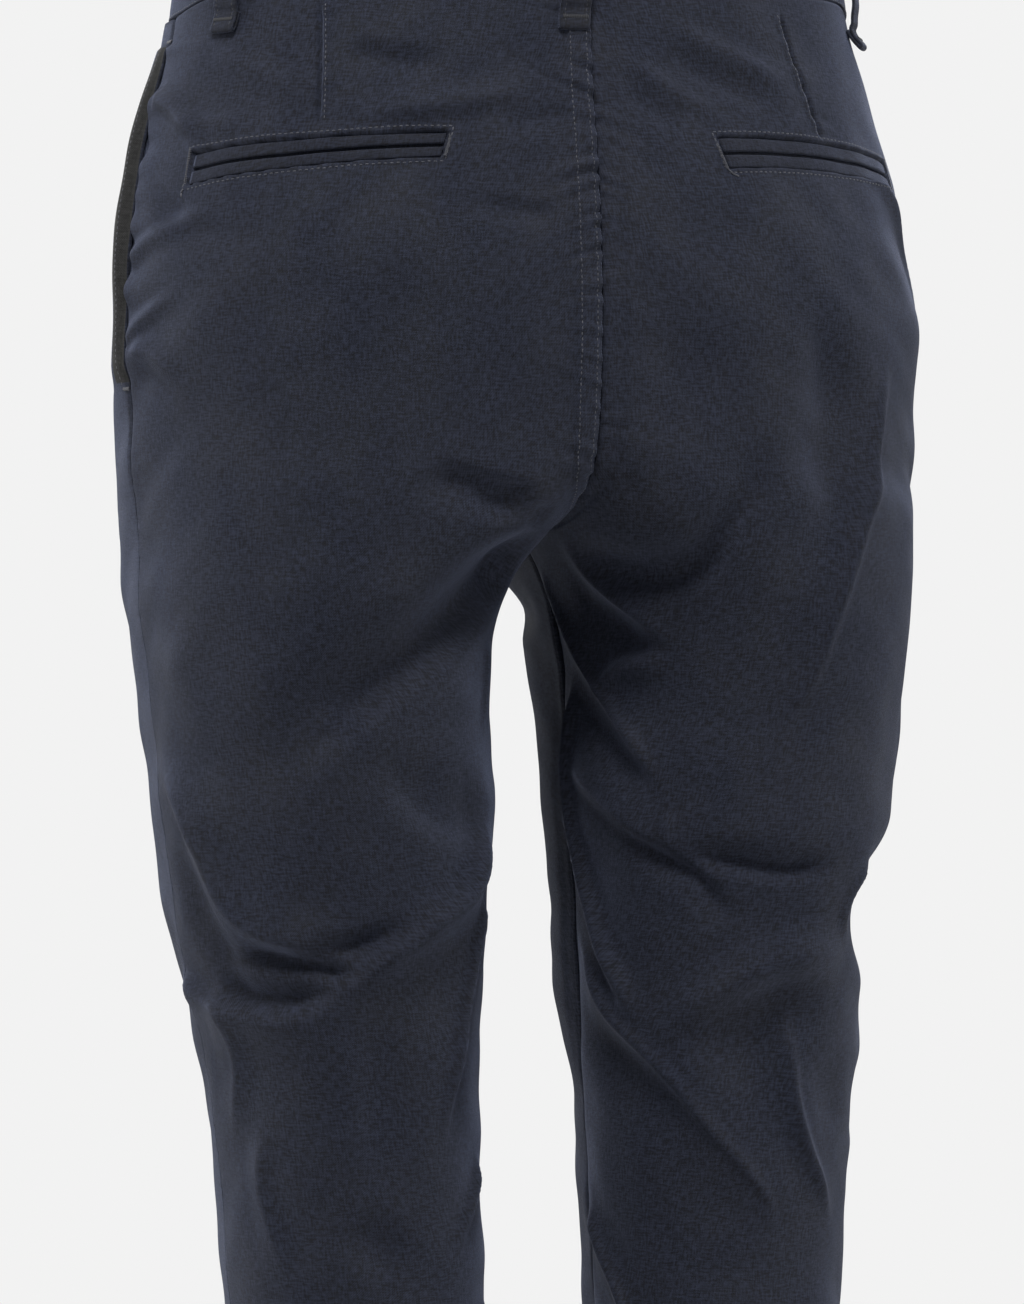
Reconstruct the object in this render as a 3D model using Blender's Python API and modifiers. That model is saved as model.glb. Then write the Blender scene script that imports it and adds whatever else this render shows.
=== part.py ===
"""Chino trousers in one hollow worn pose, as cloth walls: panels, waistband, loops, pockets, fly.

Metres, +Z up. The origin is the centre of the waist opening at the top edge of the waistband.
The front faces -Y and the wearer's left side is +X.
"""
import math
from bisect import bisect_right

import bmesh
import bpy
from mathutils import Vector

# Cloth and seams
CLOTH = 0.0014
SEAM_GAP = 0.0004
LAY_GAP = 0.0003
INNER_LAY_GAP = 0.0011

# Waistband
BAND_HEIGHT = 0.040
BAND_THICKNESS = 0.0030
BAND_PROUD = 0.0008
BAND_OVERLAP = 0.022
BAND_UNDERLAP = 0.028
BAND_LIFT = BAND_THICKNESS + 0.0006
BAND_RAMP = (0.031, 0.048)

# Legs
HEM_LEVEL = -1.020
INSEAM_ANGLE = -90.0
FLY_EXTENSION = 0.004
FLY_BOTTOM = -0.195
FLY_SHIELD_REACH = (-0.012, 0.034)

# Belt loops
LOOP_WIDTH = 0.013
LOOP_THICKNESS = 0.0016
LOOP_STAND = 0.0085
LOOP_TAIL = 0.015
LOOP_ANGLES = {
    "centre_back": ("left", 3.4),
    "back_left": ("left", 72.0),
    "back_right": ("right", 72.0),
    "front_left": ("left", 143.0),
    "front_right": ("right", 143.0),
}

# Back pockets
POCKET_ANGLES = {"left": (26.8, 73.0), "right": (22.5, 70.5)}
POCKET_TOP = -0.0970
POCKET_SLOPE = -0.0085
JET_HEIGHT = 0.0070
JET_GAP = 0.0005
JET_THICKNESS = 0.0010
JET_LAY_GAP = 0.0005

# Side pockets
MOUTH_TOP = -0.052
MOUTH_BOTTOM = -0.206
MOUTH_GAPE = 0.0035
MOUTH_REACH = 26.0
FACING_ANGLE = 12.0

# Button
BUTTON_RADIUS = 0.0075
BUTTON_THICKNESS = 0.0030

# One leg's section at each level: its outer and inner reach from the centre plane, its back and
# front reach, the angle of the side seam, and how square its inner half is behind and in front.
SECTION_COLUMNS = ("level", "outer", "inner", "back", "front", "seam", "back_square", "front_square")
SECTIONS = (
    (0.000, 0.1510, -0.1510, 0.1040, -0.1040, 92.0, 2.2, 2.2),
    (-0.040, 0.1560, -0.1560, 0.1120, -0.1060, 91.0, 2.2, 2.2),
    (-0.080, 0.1675, -0.1560, 0.1200, -0.1090, 90.0, 2.2, 2.2),
    (-0.120, 0.1775, -0.1450, 0.1285, -0.1100, 89.0, 2.3, 2.3),
    (-0.170, 0.1820, -0.1050, 0.1340, -0.1100, 88.0, 2.8, 2.8),
    (-0.220, 0.1795, -0.0550, 0.1320, -0.1060, 88.0, 4.0, 4.0),
    (-0.240, 0.1790, -0.0350, 0.1300, -0.1030, 88.0, 4.0, 4.0),
    (-0.255, 0.1785, -0.0120, 0.1285, -0.1010, 88.0, 3.8, 4.0),
    (-0.270, 0.1785, -0.0008, 0.1265, -0.0990, 88.0, 3.0, 4.0),
    (-0.285, 0.1780, 0.0070, 0.1240, -0.0960, 88.0, 2.2, 3.4),
    (-0.300, 0.1775, 0.0130, 0.1215, -0.0935, 88.0, 2.0, 3.0),
    (-0.330, 0.1755, 0.0195, 0.1170, -0.0880, 88.0, 2.05, 3.0),
    (-0.395, 0.1690, 0.0200, 0.1110, -0.0760, 88.0, 2.2, 2.3),
    (-0.440, 0.1625, 0.0240, 0.1060, -0.0660, 88.0, 2.2, 2.2),
    (-0.486, 0.1535, 0.0255, 0.1020, -0.0560, 88.0, 2.2, 2.2),
    (-0.550, 0.1455, 0.0285, 0.0985, -0.0430, 88.0, 2.2, 2.2),
    (-0.620, 0.1415, 0.0285, 0.0990, -0.0270, 88.0, 2.2, 2.2),
    (-0.720, 0.1390, 0.0290, 0.1040, -0.0180, 89.0, 2.2, 2.2),
    (-0.850, 0.1365, 0.0295, 0.1050, -0.0100, 90.0, 2.2, 2.2),
    (HEM_LEVEL, 0.1355, 0.0295, 0.1030, -0.0090, 90.0, 2.2, 2.2),
)
OUTER_SQUARE = 2.2

# The largest folds: from and to as angle and level, the half width, and the height (a trough
# has a negative one).
FOLD_COLUMNS = ("side", "angle_from", "level_from", "angle_to", "level_to", "width", "height")
FOLDS = (
    ("left", 62, -0.400, 36, -0.446, 0.022, 0.0050),
    ("left", 36, -0.446, -6, -0.452, 0.020, 0.0050),
    ("left", 84, -0.455, 40, -0.479, 0.018, -0.0050),
    ("left", 40, -0.479, -20, -0.440, 0.018, -0.0045),
    ("left", -20, -0.285, 26, -0.350, 0.024, -0.0030),
    ("left", 170, -0.480, 230, -0.465, 0.026, -0.0025),
    ("left", 165, -0.430, 225, -0.420, 0.026, 0.0020),
    ("right", -70, -0.303, -48, -0.356, 0.014, 0.0040),
    ("right", -98, -0.395, -48, -0.497, 0.015, 0.0050),
    ("right", -50, -0.502, -4, -0.562, 0.018, 0.0045),
    ("right", -20, -0.497, 2, -0.473, 0.018, 0.0045),
    ("right", 2, -0.473, 38, -0.462, 0.018, 0.0050),
    ("right", 0, -0.505, 34, -0.497, 0.018, -0.0045),
    ("right", -42, -0.290, 0, -0.250, 0.020, -0.0035),
    ("right", 112, -0.437, 62, -0.437, 0.026, -0.0180),
    ("right", 165, -0.490, 228, -0.472, 0.026, -0.0025),
    ("right", 160, -0.440, 222, -0.430, 0.026, 0.0020),
)
CENTRE_EASE = 0.030

# Levels of the panel rows: from, to, number of rows
ROW_STRETCHES = ((-0.040, -0.225, 7), (-0.225, -0.288, 9), (-0.288, -0.345, 3), (-0.345, HEM_LEVEL, 16))
PANEL_COLUMNS = 12
FORK_FAN = (0.080, 0.380)
BAND_COLUMNS = 22

COLOURS = {
    "cloth": (0.023, 0.026, 0.038),
    "dark_cloth": (0.015, 0.016, 0.022),
    "button": (0.020, 0.020, 0.024),
}


def section_value(column, level):
    """Read one column of the section table at any level, on a smooth curve through its rows."""
    index = SECTION_COLUMNS.index(column)
    depths = [-row[0] for row in SECTIONS]
    values = [row[index] for row in SECTIONS]
    depth = -level
    k = min(max(bisect_right(depths, depth) - 1, 0), len(depths) - 2)

    def slope(j):
        if j == 0:
            return (values[1] - values[0]) / (depths[1] - depths[0])
        if j == len(depths) - 1:
            return (values[-1] - values[-2]) / (depths[-1] - depths[-2])
        before, after = depths[j] - depths[j - 1], depths[j + 1] - depths[j]
        rise_before = (values[j] - values[j - 1]) / before
        rise_after = (values[j + 1] - values[j]) / after
        return (rise_before * after + rise_after * before) / (before + after)

    step = depths[k + 1] - depths[k]
    t = (depth - depths[k]) / step
    return ((2 * t**3 - 3 * t**2 + 1) * values[k] + (t**3 - 2 * t**2 + t) * step * slope(k)
            + (3 * t**2 - 2 * t**3) * values[k + 1] + (t**3 - t**2) * step * slope(k + 1))


def leg_oval(level):
    """Centre and half sizes of one leg's oval, as seen from above, at a level."""
    outer, inner = section_value("outer", level), section_value("inner", level)
    back, front = section_value("back", level), section_value("front", level)
    return (outer + inner) / 2, (outer - inner) / 2, (back + front) / 2, (back - front) / 2


def oval_point(angle, level):
    """Outward and backward place on the leg's oval. Angle 0 is back, 90 the outer side."""
    centre_x, half_x, centre_y, half_y = leg_oval(level)
    sine, cosine = math.sin(math.radians(angle)), math.cos(math.radians(angle))
    inner_square = section_value("back_square" if cosine >= 0 else "front_square", level)
    square = OUTER_SQUARE if sine >= 0 else inner_square
    reach = (abs(sine / half_x) ** square + abs(cosine / half_y) ** square) ** (-1 / square)
    return centre_x + reach * sine, centre_y + reach * cosine


def ease(value, start, end):
    """Smooth step from 0 at start to 1 at end."""
    t = min(max((value - start) / (end - start), 0.0), 1.0)
    return t * t * (3 - 2 * t)


def fold_height(side, angle, level):
    """How far the cloth stands off its plain section, from the table of folds."""
    _, half_x, _, half_y = leg_oval(level)
    girth_radius = (half_x + half_y) / 2
    total = 0.0
    for fold_side, angle_from, level_from, angle_to, level_to, width, height in FOLDS:
        if fold_side != side:
            continue
        start = Vector((math.radians(angle_from) * girth_radius, level_from))
        end = Vector((math.radians(angle_to) * girth_radius, level_to))
        for turn in (0.0, 360.0):
            here = Vector((math.radians(angle + turn) * girth_radius, level))
            along = (here - start).dot(end - start) / (end - start).length_squared
            nearest = start + (end - start) * min(max(along, 0.0), 1.0)
            total += height * math.exp(-(((here - nearest).length / width) ** 2))
    return total


def cloth_point(side, angle, level, lift=0.0):
    """A point on the trousers' outer face, moved out by lift along the face's own normal."""
    outward, backward = oval_point(angle, level)
    step_angle, step_level = 0.2, 0.0005
    next_outward, next_backward = oval_point(angle + step_angle, level)
    along = Vector((next_outward - outward, next_backward - backward, 0)).normalized()
    above_outward, above_backward = oval_point(angle, level + step_level)
    upward = Vector((above_outward - outward, above_backward - backward, step_level)).normalized()
    normal = upward.cross(along).normalized()
    rise = fold_height(side, angle, level) * ease(outward, 0.0, CENTRE_EASE)
    point = Vector((outward, backward, level)) + normal * (rise + lift)
    return Vector((point.x if side == "left" else -point.x, point.y, point.z))


def angle_at(level, outward, start, end):
    """The angle between start and end where the oval stands this far out from the centre plane."""
    for _ in range(40):
        middle = (start + end) / 2
        if oval_point(middle, level)[0] < outward:
            start = middle
        else:
            end = middle
    return (start + end) / 2


def back_edge_angle(level):
    """Centre back seam above the crotch, inseam below it."""
    half_gap = SEAM_GAP / 2
    if section_value("inner", level) >= half_gap:
        return INSEAM_ANGLE + seam_angle_gap(level)
    return max(angle_at(level, half_gap, -90.0, 20.0), INSEAM_ANGLE + seam_angle_gap(level))


def front_edge_angle(side, level):
    """Centre front seam, with the left side's fly extension, above the crotch; inseam below."""
    extension = FLY_EXTENSION * ease(level, FLY_BOTTOM - 0.012, FLY_BOTTOM)
    edge = SEAM_GAP / 2 + (-extension if side == "left" else extension)
    low = 360.0 + INSEAM_ANGLE - seam_angle_gap(level)
    if section_value("inner", level) >= edge:
        return low
    return min(angle_at(level, edge, 270.0, 150.0), low)


def seam_angle_gap(level):
    """Half the seam gap as an angle round the leg."""
    _, half_x, _, half_y = leg_oval(level)
    return math.degrees(SEAM_GAP / (half_x + half_y))


def mouth_opening(angle, level):
    """How far the front edge of the side pocket gapes: most at the seam, none at its two ends."""
    ahead = (angle - section_value("seam", level)) / MOUTH_REACH
    if level <= MOUTH_BOTTOM or level >= MOUTH_TOP or ahead > 1:
        return 0.0
    down = (level - MOUTH_TOP) / (MOUTH_BOTTOM - MOUTH_TOP)
    return MOUTH_GAPE * math.sin(math.pi * down) ** 0.6 * (1 - ease(ahead, 0.0, 1.0))


def row_levels():
    """Levels of the panel rows, closer together round the crotch."""
    levels = []
    for start, end, count in ROW_STRETCHES:
        levels += [start + (end - start) * k / count for k in range(count)]
    levels.append(HEM_LEVEL)
    levels[0] -= SEAM_GAP
    return levels


def make_material(name, colour, roughness=0.85, metallic=0.0):
    material = bpy.data.materials.new(name)
    material.use_nodes = True
    shader = material.node_tree.nodes["Principled BSDF"]
    shader.inputs["Base Color"].default_value = (*colour, 1)
    shader.inputs["Roughness"].default_value = roughness
    shader.inputs["Metallic"].default_value = metallic
    return material


def add_object(name, mesh, colour, roughness=0.85):
    """Put a mesh in the trousers' collection with a material of its own."""
    thing = bpy.data.objects.new(name, mesh)
    thing.data.materials.append(make_material(name + "_material", COLOURS[colour], roughness))
    trousers.objects.link(thing)
    return thing


def cloth_sheet(name, rows, thickness, colour="cloth", inward=True):
    """A closed wall lofted through rows of points, thickened with Solidify on one side."""
    mesh = bpy.data.meshes.new(name)
    build = bmesh.new()
    grid = [[build.verts.new(point) for point in row] for row in rows]
    for upper, lower in zip(grid, grid[1:]):
        for k in range(len(upper) - 1):
            build.faces.new((upper[k], lower[k], lower[k + 1], upper[k + 1]))
    build.to_mesh(mesh)
    build.free()
    sheet = add_object(name, mesh, colour)
    wall = sheet.modifiers.new("Wall", "SOLIDIFY")
    wall.thickness = thickness
    wall.offset = -1.0 if inward else 1.0
    return sheet


def ordered(side, rows):
    """Rows run round the leg the other way on the left, so that faces point out on both sides."""
    return rows if side == "right" else [row[::-1] for row in rows]


def column_angles(seam, edge, centre, level):
    """Angles across a panel, from its centre or inseam edge to its side seam.

    centre is the angle of the centre back or front. The columns fan out smoothly into the fork, and
    only those by the edge follow its quick turn under the crotch.
    """
    inseam = INSEAM_ANGLE if centre == 0.0 else 360.0 + INSEAM_ANGLE
    fan = centre + (inseam - centre) * ease(-level, *FORK_FAN)
    shares = [1 - k / PANEL_COLUMNS for k in range(PANEL_COLUMNS + 1)]
    return [seam + (fan - seam) * share + (edge - fan) * share**4 for share in shares]


def make_back_panel(side):
    rows = []
    for level in row_levels():
        seam = section_value("seam", level) - seam_angle_gap(level)
        angles = column_angles(seam, back_edge_angle(level), 0.0, level)
        rows.append([cloth_point(side, angle, level) for angle in angles])
    cloth_sheet("back_" + side, ordered(side, rows), CLOTH)


def make_front_panel(side):
    rows = []
    for level in row_levels():
        seam = section_value("seam", level) + seam_angle_gap(level)
        angles = column_angles(seam, front_edge_angle(side, level), 180.0, level)[::-1]
        rows.append([cloth_point(side, angle, level, mouth_opening(angle, level)) for angle in angles])
    cloth_sheet("front_" + side, ordered(side, rows), CLOTH)


def make_patch(name, side, angles, levels_at, lift, thickness, colour="cloth"):
    """A strip that lies on a panel: its rows follow the panel's own points, moved out by lift.

    levels_at gives the levels down the strip at one angle.
    """
    columns = [[cloth_point(side, angle, level, lift) for level in levels_at(angle)] for angle in angles]
    rows = [list(row) for row in zip(*columns)]
    cloth_sheet(name, ordered(side, rows), thickness, colour)


def spread(start, end, count):
    return [start + (end - start) * k / count for k in range(count + 1)]


def make_back_pocket(side):
    """Two jets, one over the other, with the pressed-shut mouth between them."""
    first, last = POCKET_ANGLES[side]
    for place, drop in (("upper", 0.0), ("lower", JET_HEIGHT + JET_GAP)):

        def jet_levels(angle, drop=drop):
            top = POCKET_TOP + POCKET_SLOPE * (angle - first) / (last - first) - drop
            return top, top - JET_HEIGHT

        make_patch(f"back_pocket_{side}_{place}_jet", side, spread(first, last, 10), jet_levels,
                   JET_LAY_GAP + JET_THICKNESS, JET_THICKNESS, "dark_cloth")


def make_side_pocket_facing(side):
    """The strip that backs the side pocket's mouth, just inside the front panel."""
    top, bottom = MOUTH_TOP + 0.006, MOUTH_BOTTOM - 0.008
    rows = []
    for level in spread(top, bottom, 10):
        start = section_value("seam", level) - 1.0
        rows.append([cloth_point(side, start + FACING_ANGLE * k / 3, level, -CLOTH - INNER_LAY_GAP)
                     for k in range(4)])
    cloth_sheet("side_pocket_facing_" + side, ordered(side, rows), CLOTH, "dark_cloth")


def front_point(outward_left, level, lift):
    """A point near the centre front, given by how far it lies towards the wearer's left."""
    side = "left" if outward_left >= 0 else "right"
    return cloth_point(side, angle_at(level, abs(outward_left), 270.0, 100.0), level, lift)


def make_fly_shield():
    """The strip behind the fly, from the right front across the opening."""
    right_end, left_end = FLY_SHIELD_REACH
    rows = []
    for level in spread(-BAND_HEIGHT - SEAM_GAP, FLY_BOTTOM, 8):
        rows.append([front_point(x, level, -CLOTH - INNER_LAY_GAP)
                     for x in spread(right_end, left_end, 3)])
    cloth_sheet("fly_shield", rows, CLOTH)


def band_point(side, angle, level, lift):
    return cloth_point(side, angle, level, BAND_PROUD + lift)


def make_waistband(side):
    """Half of the waistband, from the centre back to its end past the centre front."""
    rows = []
    for level in (0.0, -BAND_HEIGHT / 2, -BAND_HEIGHT + SEAM_GAP / 2):
        start = angle_at(level, SEAM_GAP / 2, -30.0, 40.0)
        ramp_start = angle_at(level, BAND_RAMP[1], 180.0, 100.0)
        row = [band_point(side, angle, level, 0.0) for angle in spread(start, ramp_start, BAND_COLUMNS)]
        if side == "left":
            steps = (BAND_RAMP[0], BAND_RAMP[0] / 2, 0.0, -BAND_OVERLAP / 2, -BAND_OVERLAP)
            row += [front_point(x, level, BAND_PROUD + BAND_LIFT) for x in steps]
        else:
            steps = (-BAND_RAMP[0], -BAND_RAMP[0] / 2, 0.0, BAND_UNDERLAP / 2, BAND_UNDERLAP)
            row += [front_point(x, level, BAND_PROUD) for x in steps]
        rows.append(row)
    cloth_sheet("waistband_" + side, ordered(side, rows), BAND_THICKNESS)


def make_belt_loop(place, side, angle):
    """A strip with its tail on the panel and its head on the band, standing off between them."""
    on_band = BAND_PROUD + LAY_GAP
    tail = -BAND_HEIGHT - LOOP_TAIL
    profile = (
        (-0.0003, on_band),
        (-0.0045, on_band + 0.0012),
        (-0.0050, LOOP_STAND * 0.7),
        (-0.0090, LOOP_STAND),
        (-BAND_HEIGHT / 2, LOOP_STAND),
        (tail + 0.014, LOOP_STAND),
        (tail + 0.010, LOOP_STAND * 0.7),
        (tail + 0.006, LAY_GAP),
        (tail, LAY_GAP),
    )
    half = LOOP_WIDTH / 2
    rows = []
    for level, lift in profile:
        middle = cloth_point(side, angle, level, lift + LOOP_THICKNESS)
        ahead = cloth_point(side, angle + 1.0, level, lift + LOOP_THICKNESS) - middle
        across = Vector((ahead.x, ahead.y, 0)).normalized()
        rows.append([middle - across * half, middle + across * half])
    cloth_sheet("belt_loop_" + place, ordered(side, rows), LOOP_THICKNESS)


def make_button():
    """A round button on the overlapped end of the band, its face to the front."""
    face = front_point(0.0, -BAND_HEIGHT / 2 - BUTTON_RADIUS, BAND_PROUD + BAND_LIFT + LAY_GAP)
    mesh = bpy.data.meshes.new("waist_button")
    build = bmesh.new()
    bmesh.ops.create_cone(build, cap_ends=True, segments=24, radius1=BUTTON_RADIUS,
                          radius2=BUTTON_RADIUS, depth=BUTTON_THICKNESS)
    build.to_mesh(mesh)
    build.free()
    button = add_object("waist_button", mesh, "button", 0.35)
    button.rotation_euler = (math.radians(90), 0, 0)
    button.location = (0, face.y - BUTTON_THICKNESS / 2, -BAND_HEIGHT / 2)
    rim = button.modifiers.new("Rim", "BEVEL")
    rim.width = 0.0006
    rim.segments = 2


for old in list(bpy.data.objects):
    bpy.data.objects.remove(old, do_unlink=True)
trousers = bpy.data.collections.new("Chino trousers")
bpy.context.scene.collection.children.link(trousers)

for leg in ("left", "right"):
    make_back_panel(leg)
    make_front_panel(leg)
    make_waistband(leg)
    make_back_pocket(leg)
    make_side_pocket_facing(leg)
make_fly_shield()
for loop_place, (loop_side, loop_angle) in LOOP_ANGLES.items():
    make_belt_loop(loop_place, loop_side, loop_angle)
make_button()
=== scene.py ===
# Worn navy chino trousers, hollow and standing, seen from behind and to their left.
# Metres, Z up, front towards -Y, wearer's left towards +X, origin at the waist opening.
import math

import bpy
import numpy as np
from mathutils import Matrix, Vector


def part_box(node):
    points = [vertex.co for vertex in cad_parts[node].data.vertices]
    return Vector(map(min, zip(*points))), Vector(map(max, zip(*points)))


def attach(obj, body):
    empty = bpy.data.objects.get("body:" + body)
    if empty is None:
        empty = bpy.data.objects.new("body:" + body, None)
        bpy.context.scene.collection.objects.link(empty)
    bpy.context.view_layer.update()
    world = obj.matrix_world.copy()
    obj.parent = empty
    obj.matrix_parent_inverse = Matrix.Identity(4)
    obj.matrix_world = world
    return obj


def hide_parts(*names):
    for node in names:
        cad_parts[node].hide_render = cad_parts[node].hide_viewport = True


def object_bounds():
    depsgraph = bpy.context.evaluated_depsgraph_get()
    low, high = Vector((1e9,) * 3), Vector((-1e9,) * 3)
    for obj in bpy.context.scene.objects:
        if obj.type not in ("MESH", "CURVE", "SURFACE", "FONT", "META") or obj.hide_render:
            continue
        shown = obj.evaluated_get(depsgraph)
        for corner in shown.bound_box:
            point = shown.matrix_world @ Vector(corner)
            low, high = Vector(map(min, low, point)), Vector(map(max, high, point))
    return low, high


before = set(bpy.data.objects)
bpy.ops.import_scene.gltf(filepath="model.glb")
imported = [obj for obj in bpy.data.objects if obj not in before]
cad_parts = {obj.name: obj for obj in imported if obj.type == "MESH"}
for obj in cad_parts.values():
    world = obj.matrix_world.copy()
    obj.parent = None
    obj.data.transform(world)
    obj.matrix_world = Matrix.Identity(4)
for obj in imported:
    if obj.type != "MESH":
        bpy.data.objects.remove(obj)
cadLow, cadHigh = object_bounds()
print("frame loaded:", len(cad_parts), "nodes")


viewpoint = {
    "azimuth": 162.0,       # seen from behind, turned to the wearer's left
    "distance": 3.0,
    "aim": (-0.0013, 0.0004, -0.325),
    "lens": 182.2,
    "sensor": 36.0,
}


def heading(azimuth):
    turn = math.radians(azimuth)
    return Vector((math.sin(turn), -math.cos(turn), 0.0))


def putFacing(name, data, middle, away):
    # something set at middle + away that looks back at middle
    thing = bpy.data.objects.new(name, data)
    thing.location = Vector(middle) + away
    thing.rotation_mode = "QUATERNION"
    thing.rotation_quaternion = (-away).to_track_quat("-Z", "Y")
    bpy.context.scene.collection.objects.link(thing)
    return thing


def makeCamera(v):
    data = bpy.data.cameras.new("camera")
    data.lens = v["lens"]
    data.sensor_width = v["sensor"]
    away = heading(v["azimuth"]) * v["distance"]
    bpy.context.scene.camera = putFacing("camera", data, v["aim"], away)


studio = {
    "background": 0.888,    # pale studio grey seen behind the trousers
    "fill": 0.055,          # even light from all round
    "boxes": [              # softboxes: azimuth, height, distance, width, tall, watts
        (72, 0.0, 1.7, 0.7, 2.0, 11.5),
        (252, 0.0, 1.7, 0.7, 2.0, 11.5),
        (155, 2.3, 1.5, 1.0, 0.8, 66),
        (335, 2.3, 1.5, 1.0, 0.8, 66),
        (192, 0.20, 3.2, 1.2, 1.2, 3.5),
        (12, 0.20, 3.2, 1.2, 1.2, 3.5),
    ],
    "middle": (0.0, 0.02, -0.45),
    "floorDrop": 0.03,
    "floorRadius": 3.6,
    "floorSides": 96,
    "floorRoughness": 0.9,
    "floorTint": 0.80,
    "floorGlow": 0.69,      # keeps the floor as pale as the wall behind
    "floorSeen": 0.12,
}


def setInputs(tree, node, inputs):
    # a node or one of its sockets is linked, and anything else is set as it stands
    for key, value in inputs.items():
        if isinstance(value, bpy.types.Node):
            value = value.outputs[0]
        if isinstance(value, bpy.types.NodeSocket):
            tree.links.new(value, node.inputs[key])
        else:
            node.inputs[key].default_value = value


def addNode(tree, kind, inputs, **settings):
    node = tree.nodes.new("ShaderNode" + kind)
    for key, value in settings.items():
        setattr(node, key, value)
    setInputs(tree, node, inputs)
    return node


def grey(tone):
    return (tone, tone, tone, 1)


def makeWorld(s):
    world = bpy.data.worlds.new("studio")
    world.use_nodes = True
    tree = world.node_tree
    tree.nodes.clear()
    lit = addNode(tree, "Background", {"Color": grey(1.0), "Strength": s["fill"]})
    seen = addNode(tree, "Background", {"Color": grey(s["background"])})
    rays = addNode(tree, "LightPath", {}).outputs
    straight = addNode(tree, "Math", {0: rays["Is Camera Ray"], 1: rays["Is Transmission Ray"]},
                       operation="MAXIMUM")
    either = addNode(tree, "Math", {0: straight, 1: rays["Is Glossy Ray"]}, operation="MAXIMUM")
    mix = addNode(tree, "MixShader", {0: either, 1: lit, 2: seen})
    addNode(tree, "OutputWorld", {"Surface": mix})
    bpy.context.scene.world = world
    bpy.context.scene.view_settings.view_transform = "Standard"


def makeLamps(s):
    for number, (azimuth, height, distance, width, tall, watts) in enumerate(s["boxes"]):
        data = bpy.data.lights.new("softbox%d" % number, "AREA")
        data.shape = "RECTANGLE"
        data.size = width
        data.size_y = tall
        data.energy = watts
        putFacing(data.name, data, s["middle"], heading(azimuth) * distance + Vector((0, 0, height)))


def principled(name, colour, roughness):
    material = bpy.data.materials.new(name)
    material.use_nodes = True
    tree = material.node_tree
    shader = tree.nodes["Principled BSDF"]
    setInputs(tree, shader, {"Base Color": (*colour, 1), "Roughness": roughness})
    return material, tree, shader


def makeFloor(s):
    turn = np.arange(s["floorSides"]) * 2 * math.pi / s["floorSides"]
    radius, level = s["floorRadius"], cadLow[2] - s["floorDrop"]
    mesh = bpy.data.meshes.new("floor")
    mesh.from_pydata([(radius * math.cos(t), radius * math.sin(t), level) for t in turn], [],
                     [tuple(range(s["floorSides"]))])
    floor = bpy.data.objects.new("floor", mesh)
    bpy.context.scene.collection.objects.link(floor)
    paint, tree, lit = principled("floorPaint", grey(s["floorTint"])[:3], s["floorRoughness"])
    # what the camera sees of it is even and pale, with the shadow kept
    seen = addNode(tree, "BsdfPrincipled", {
        "Base Color": grey(s["floorSeen"]), "Roughness": s["floorRoughness"],
        "Emission Color": grey(1), "Emission Strength": s["floorGlow"]})
    rays = addNode(tree, "LightPath", {}).outputs
    mix = addNode(tree, "MixShader", {0: rays["Is Camera Ray"], 1: lit, 2: seen})
    setInputs(tree, tree.nodes["Material Output"], {"Surface": mix})
    mesh.materials.append(paint)


# One leg's section at each level: outer and inner reach from the centre plane, back and front
# reach, all in millimetres, the angle of the side seam, and how square the inner half is behind and
# in front. The other lengths are in metres.
form = {
    "columns": ("level", "outer", "inner", "back", "front", "seam", "backSquare", "frontSquare"),
    "rows": [
        (0, 151, -151, 104, -104, 92, 2.2, 2.2),
        (-40, 156, -156, 112, -106, 91, 2.2, 2.2),
        (-80, 167.5, -156, 120, -109, 90, 2.2, 2.2),
        (-120, 177.5, -145, 128.5, -110, 89, 2.3, 2.3),
        (-170, 182, -105, 134, -110, 88, 2.8, 2.8),
        (-220, 179.5, -55, 132, -106, 88, 4, 4),
        (-240, 179, -35, 130, -103, 88, 4, 4),
        (-255, 178.5, -12, 128.5, -101, 88, 3.8, 4),
        (-270, 178.5, -0.8, 126.5, -99, 88, 3, 4),
        (-285, 178, 7, 124, -96, 88, 2.2, 3.4),
        (-300, 177.5, 13, 121.5, -93.5, 88, 2, 3),
        (-330, 175.5, 19.5, 117, -88, 88, 2.05, 3),
        (-395, 169, 20, 111, -76, 88, 2.2, 2.3),
        (-440, 162.5, 24, 106, -66, 88, 2.2, 2.2),
        (-486, 153.5, 25.5, 102, -56, 88, 2.2, 2.2),
        (-550, 145.5, 28.5, 98.5, -43, 88, 2.2, 2.2),
        (-620, 141.5, 28.5, 99, -27, 88, 2.2, 2.2),
        (-720, 139, 29, 104, -18, 89, 2.2, 2.2),
        (-850, 136.5, 29.5, 105, -10, 90, 2.2, 2.2),
        (-1020, 135.5, 29.5, 103, -9, 90, 2.2, 2.2),
    ],
    "outerSquare": 2.2,
    "bandHeight": 0.040,
    "hem": -1.020,
    "seamGap": 0.0004,
    "cloth": 0.0014,
    "flyExtension": 0.004,
    "flyBottom": -0.195,
    "fork": -0.283,
    "hipRadius": 0.149,           # of the curve that turns an angle into a distance on the seat
    "hemTurn": 0.030,
}
formTable = np.array(form["rows"]) / (1000, 1000, 1000, 1000, 1000, 1, 1, 1)


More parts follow.
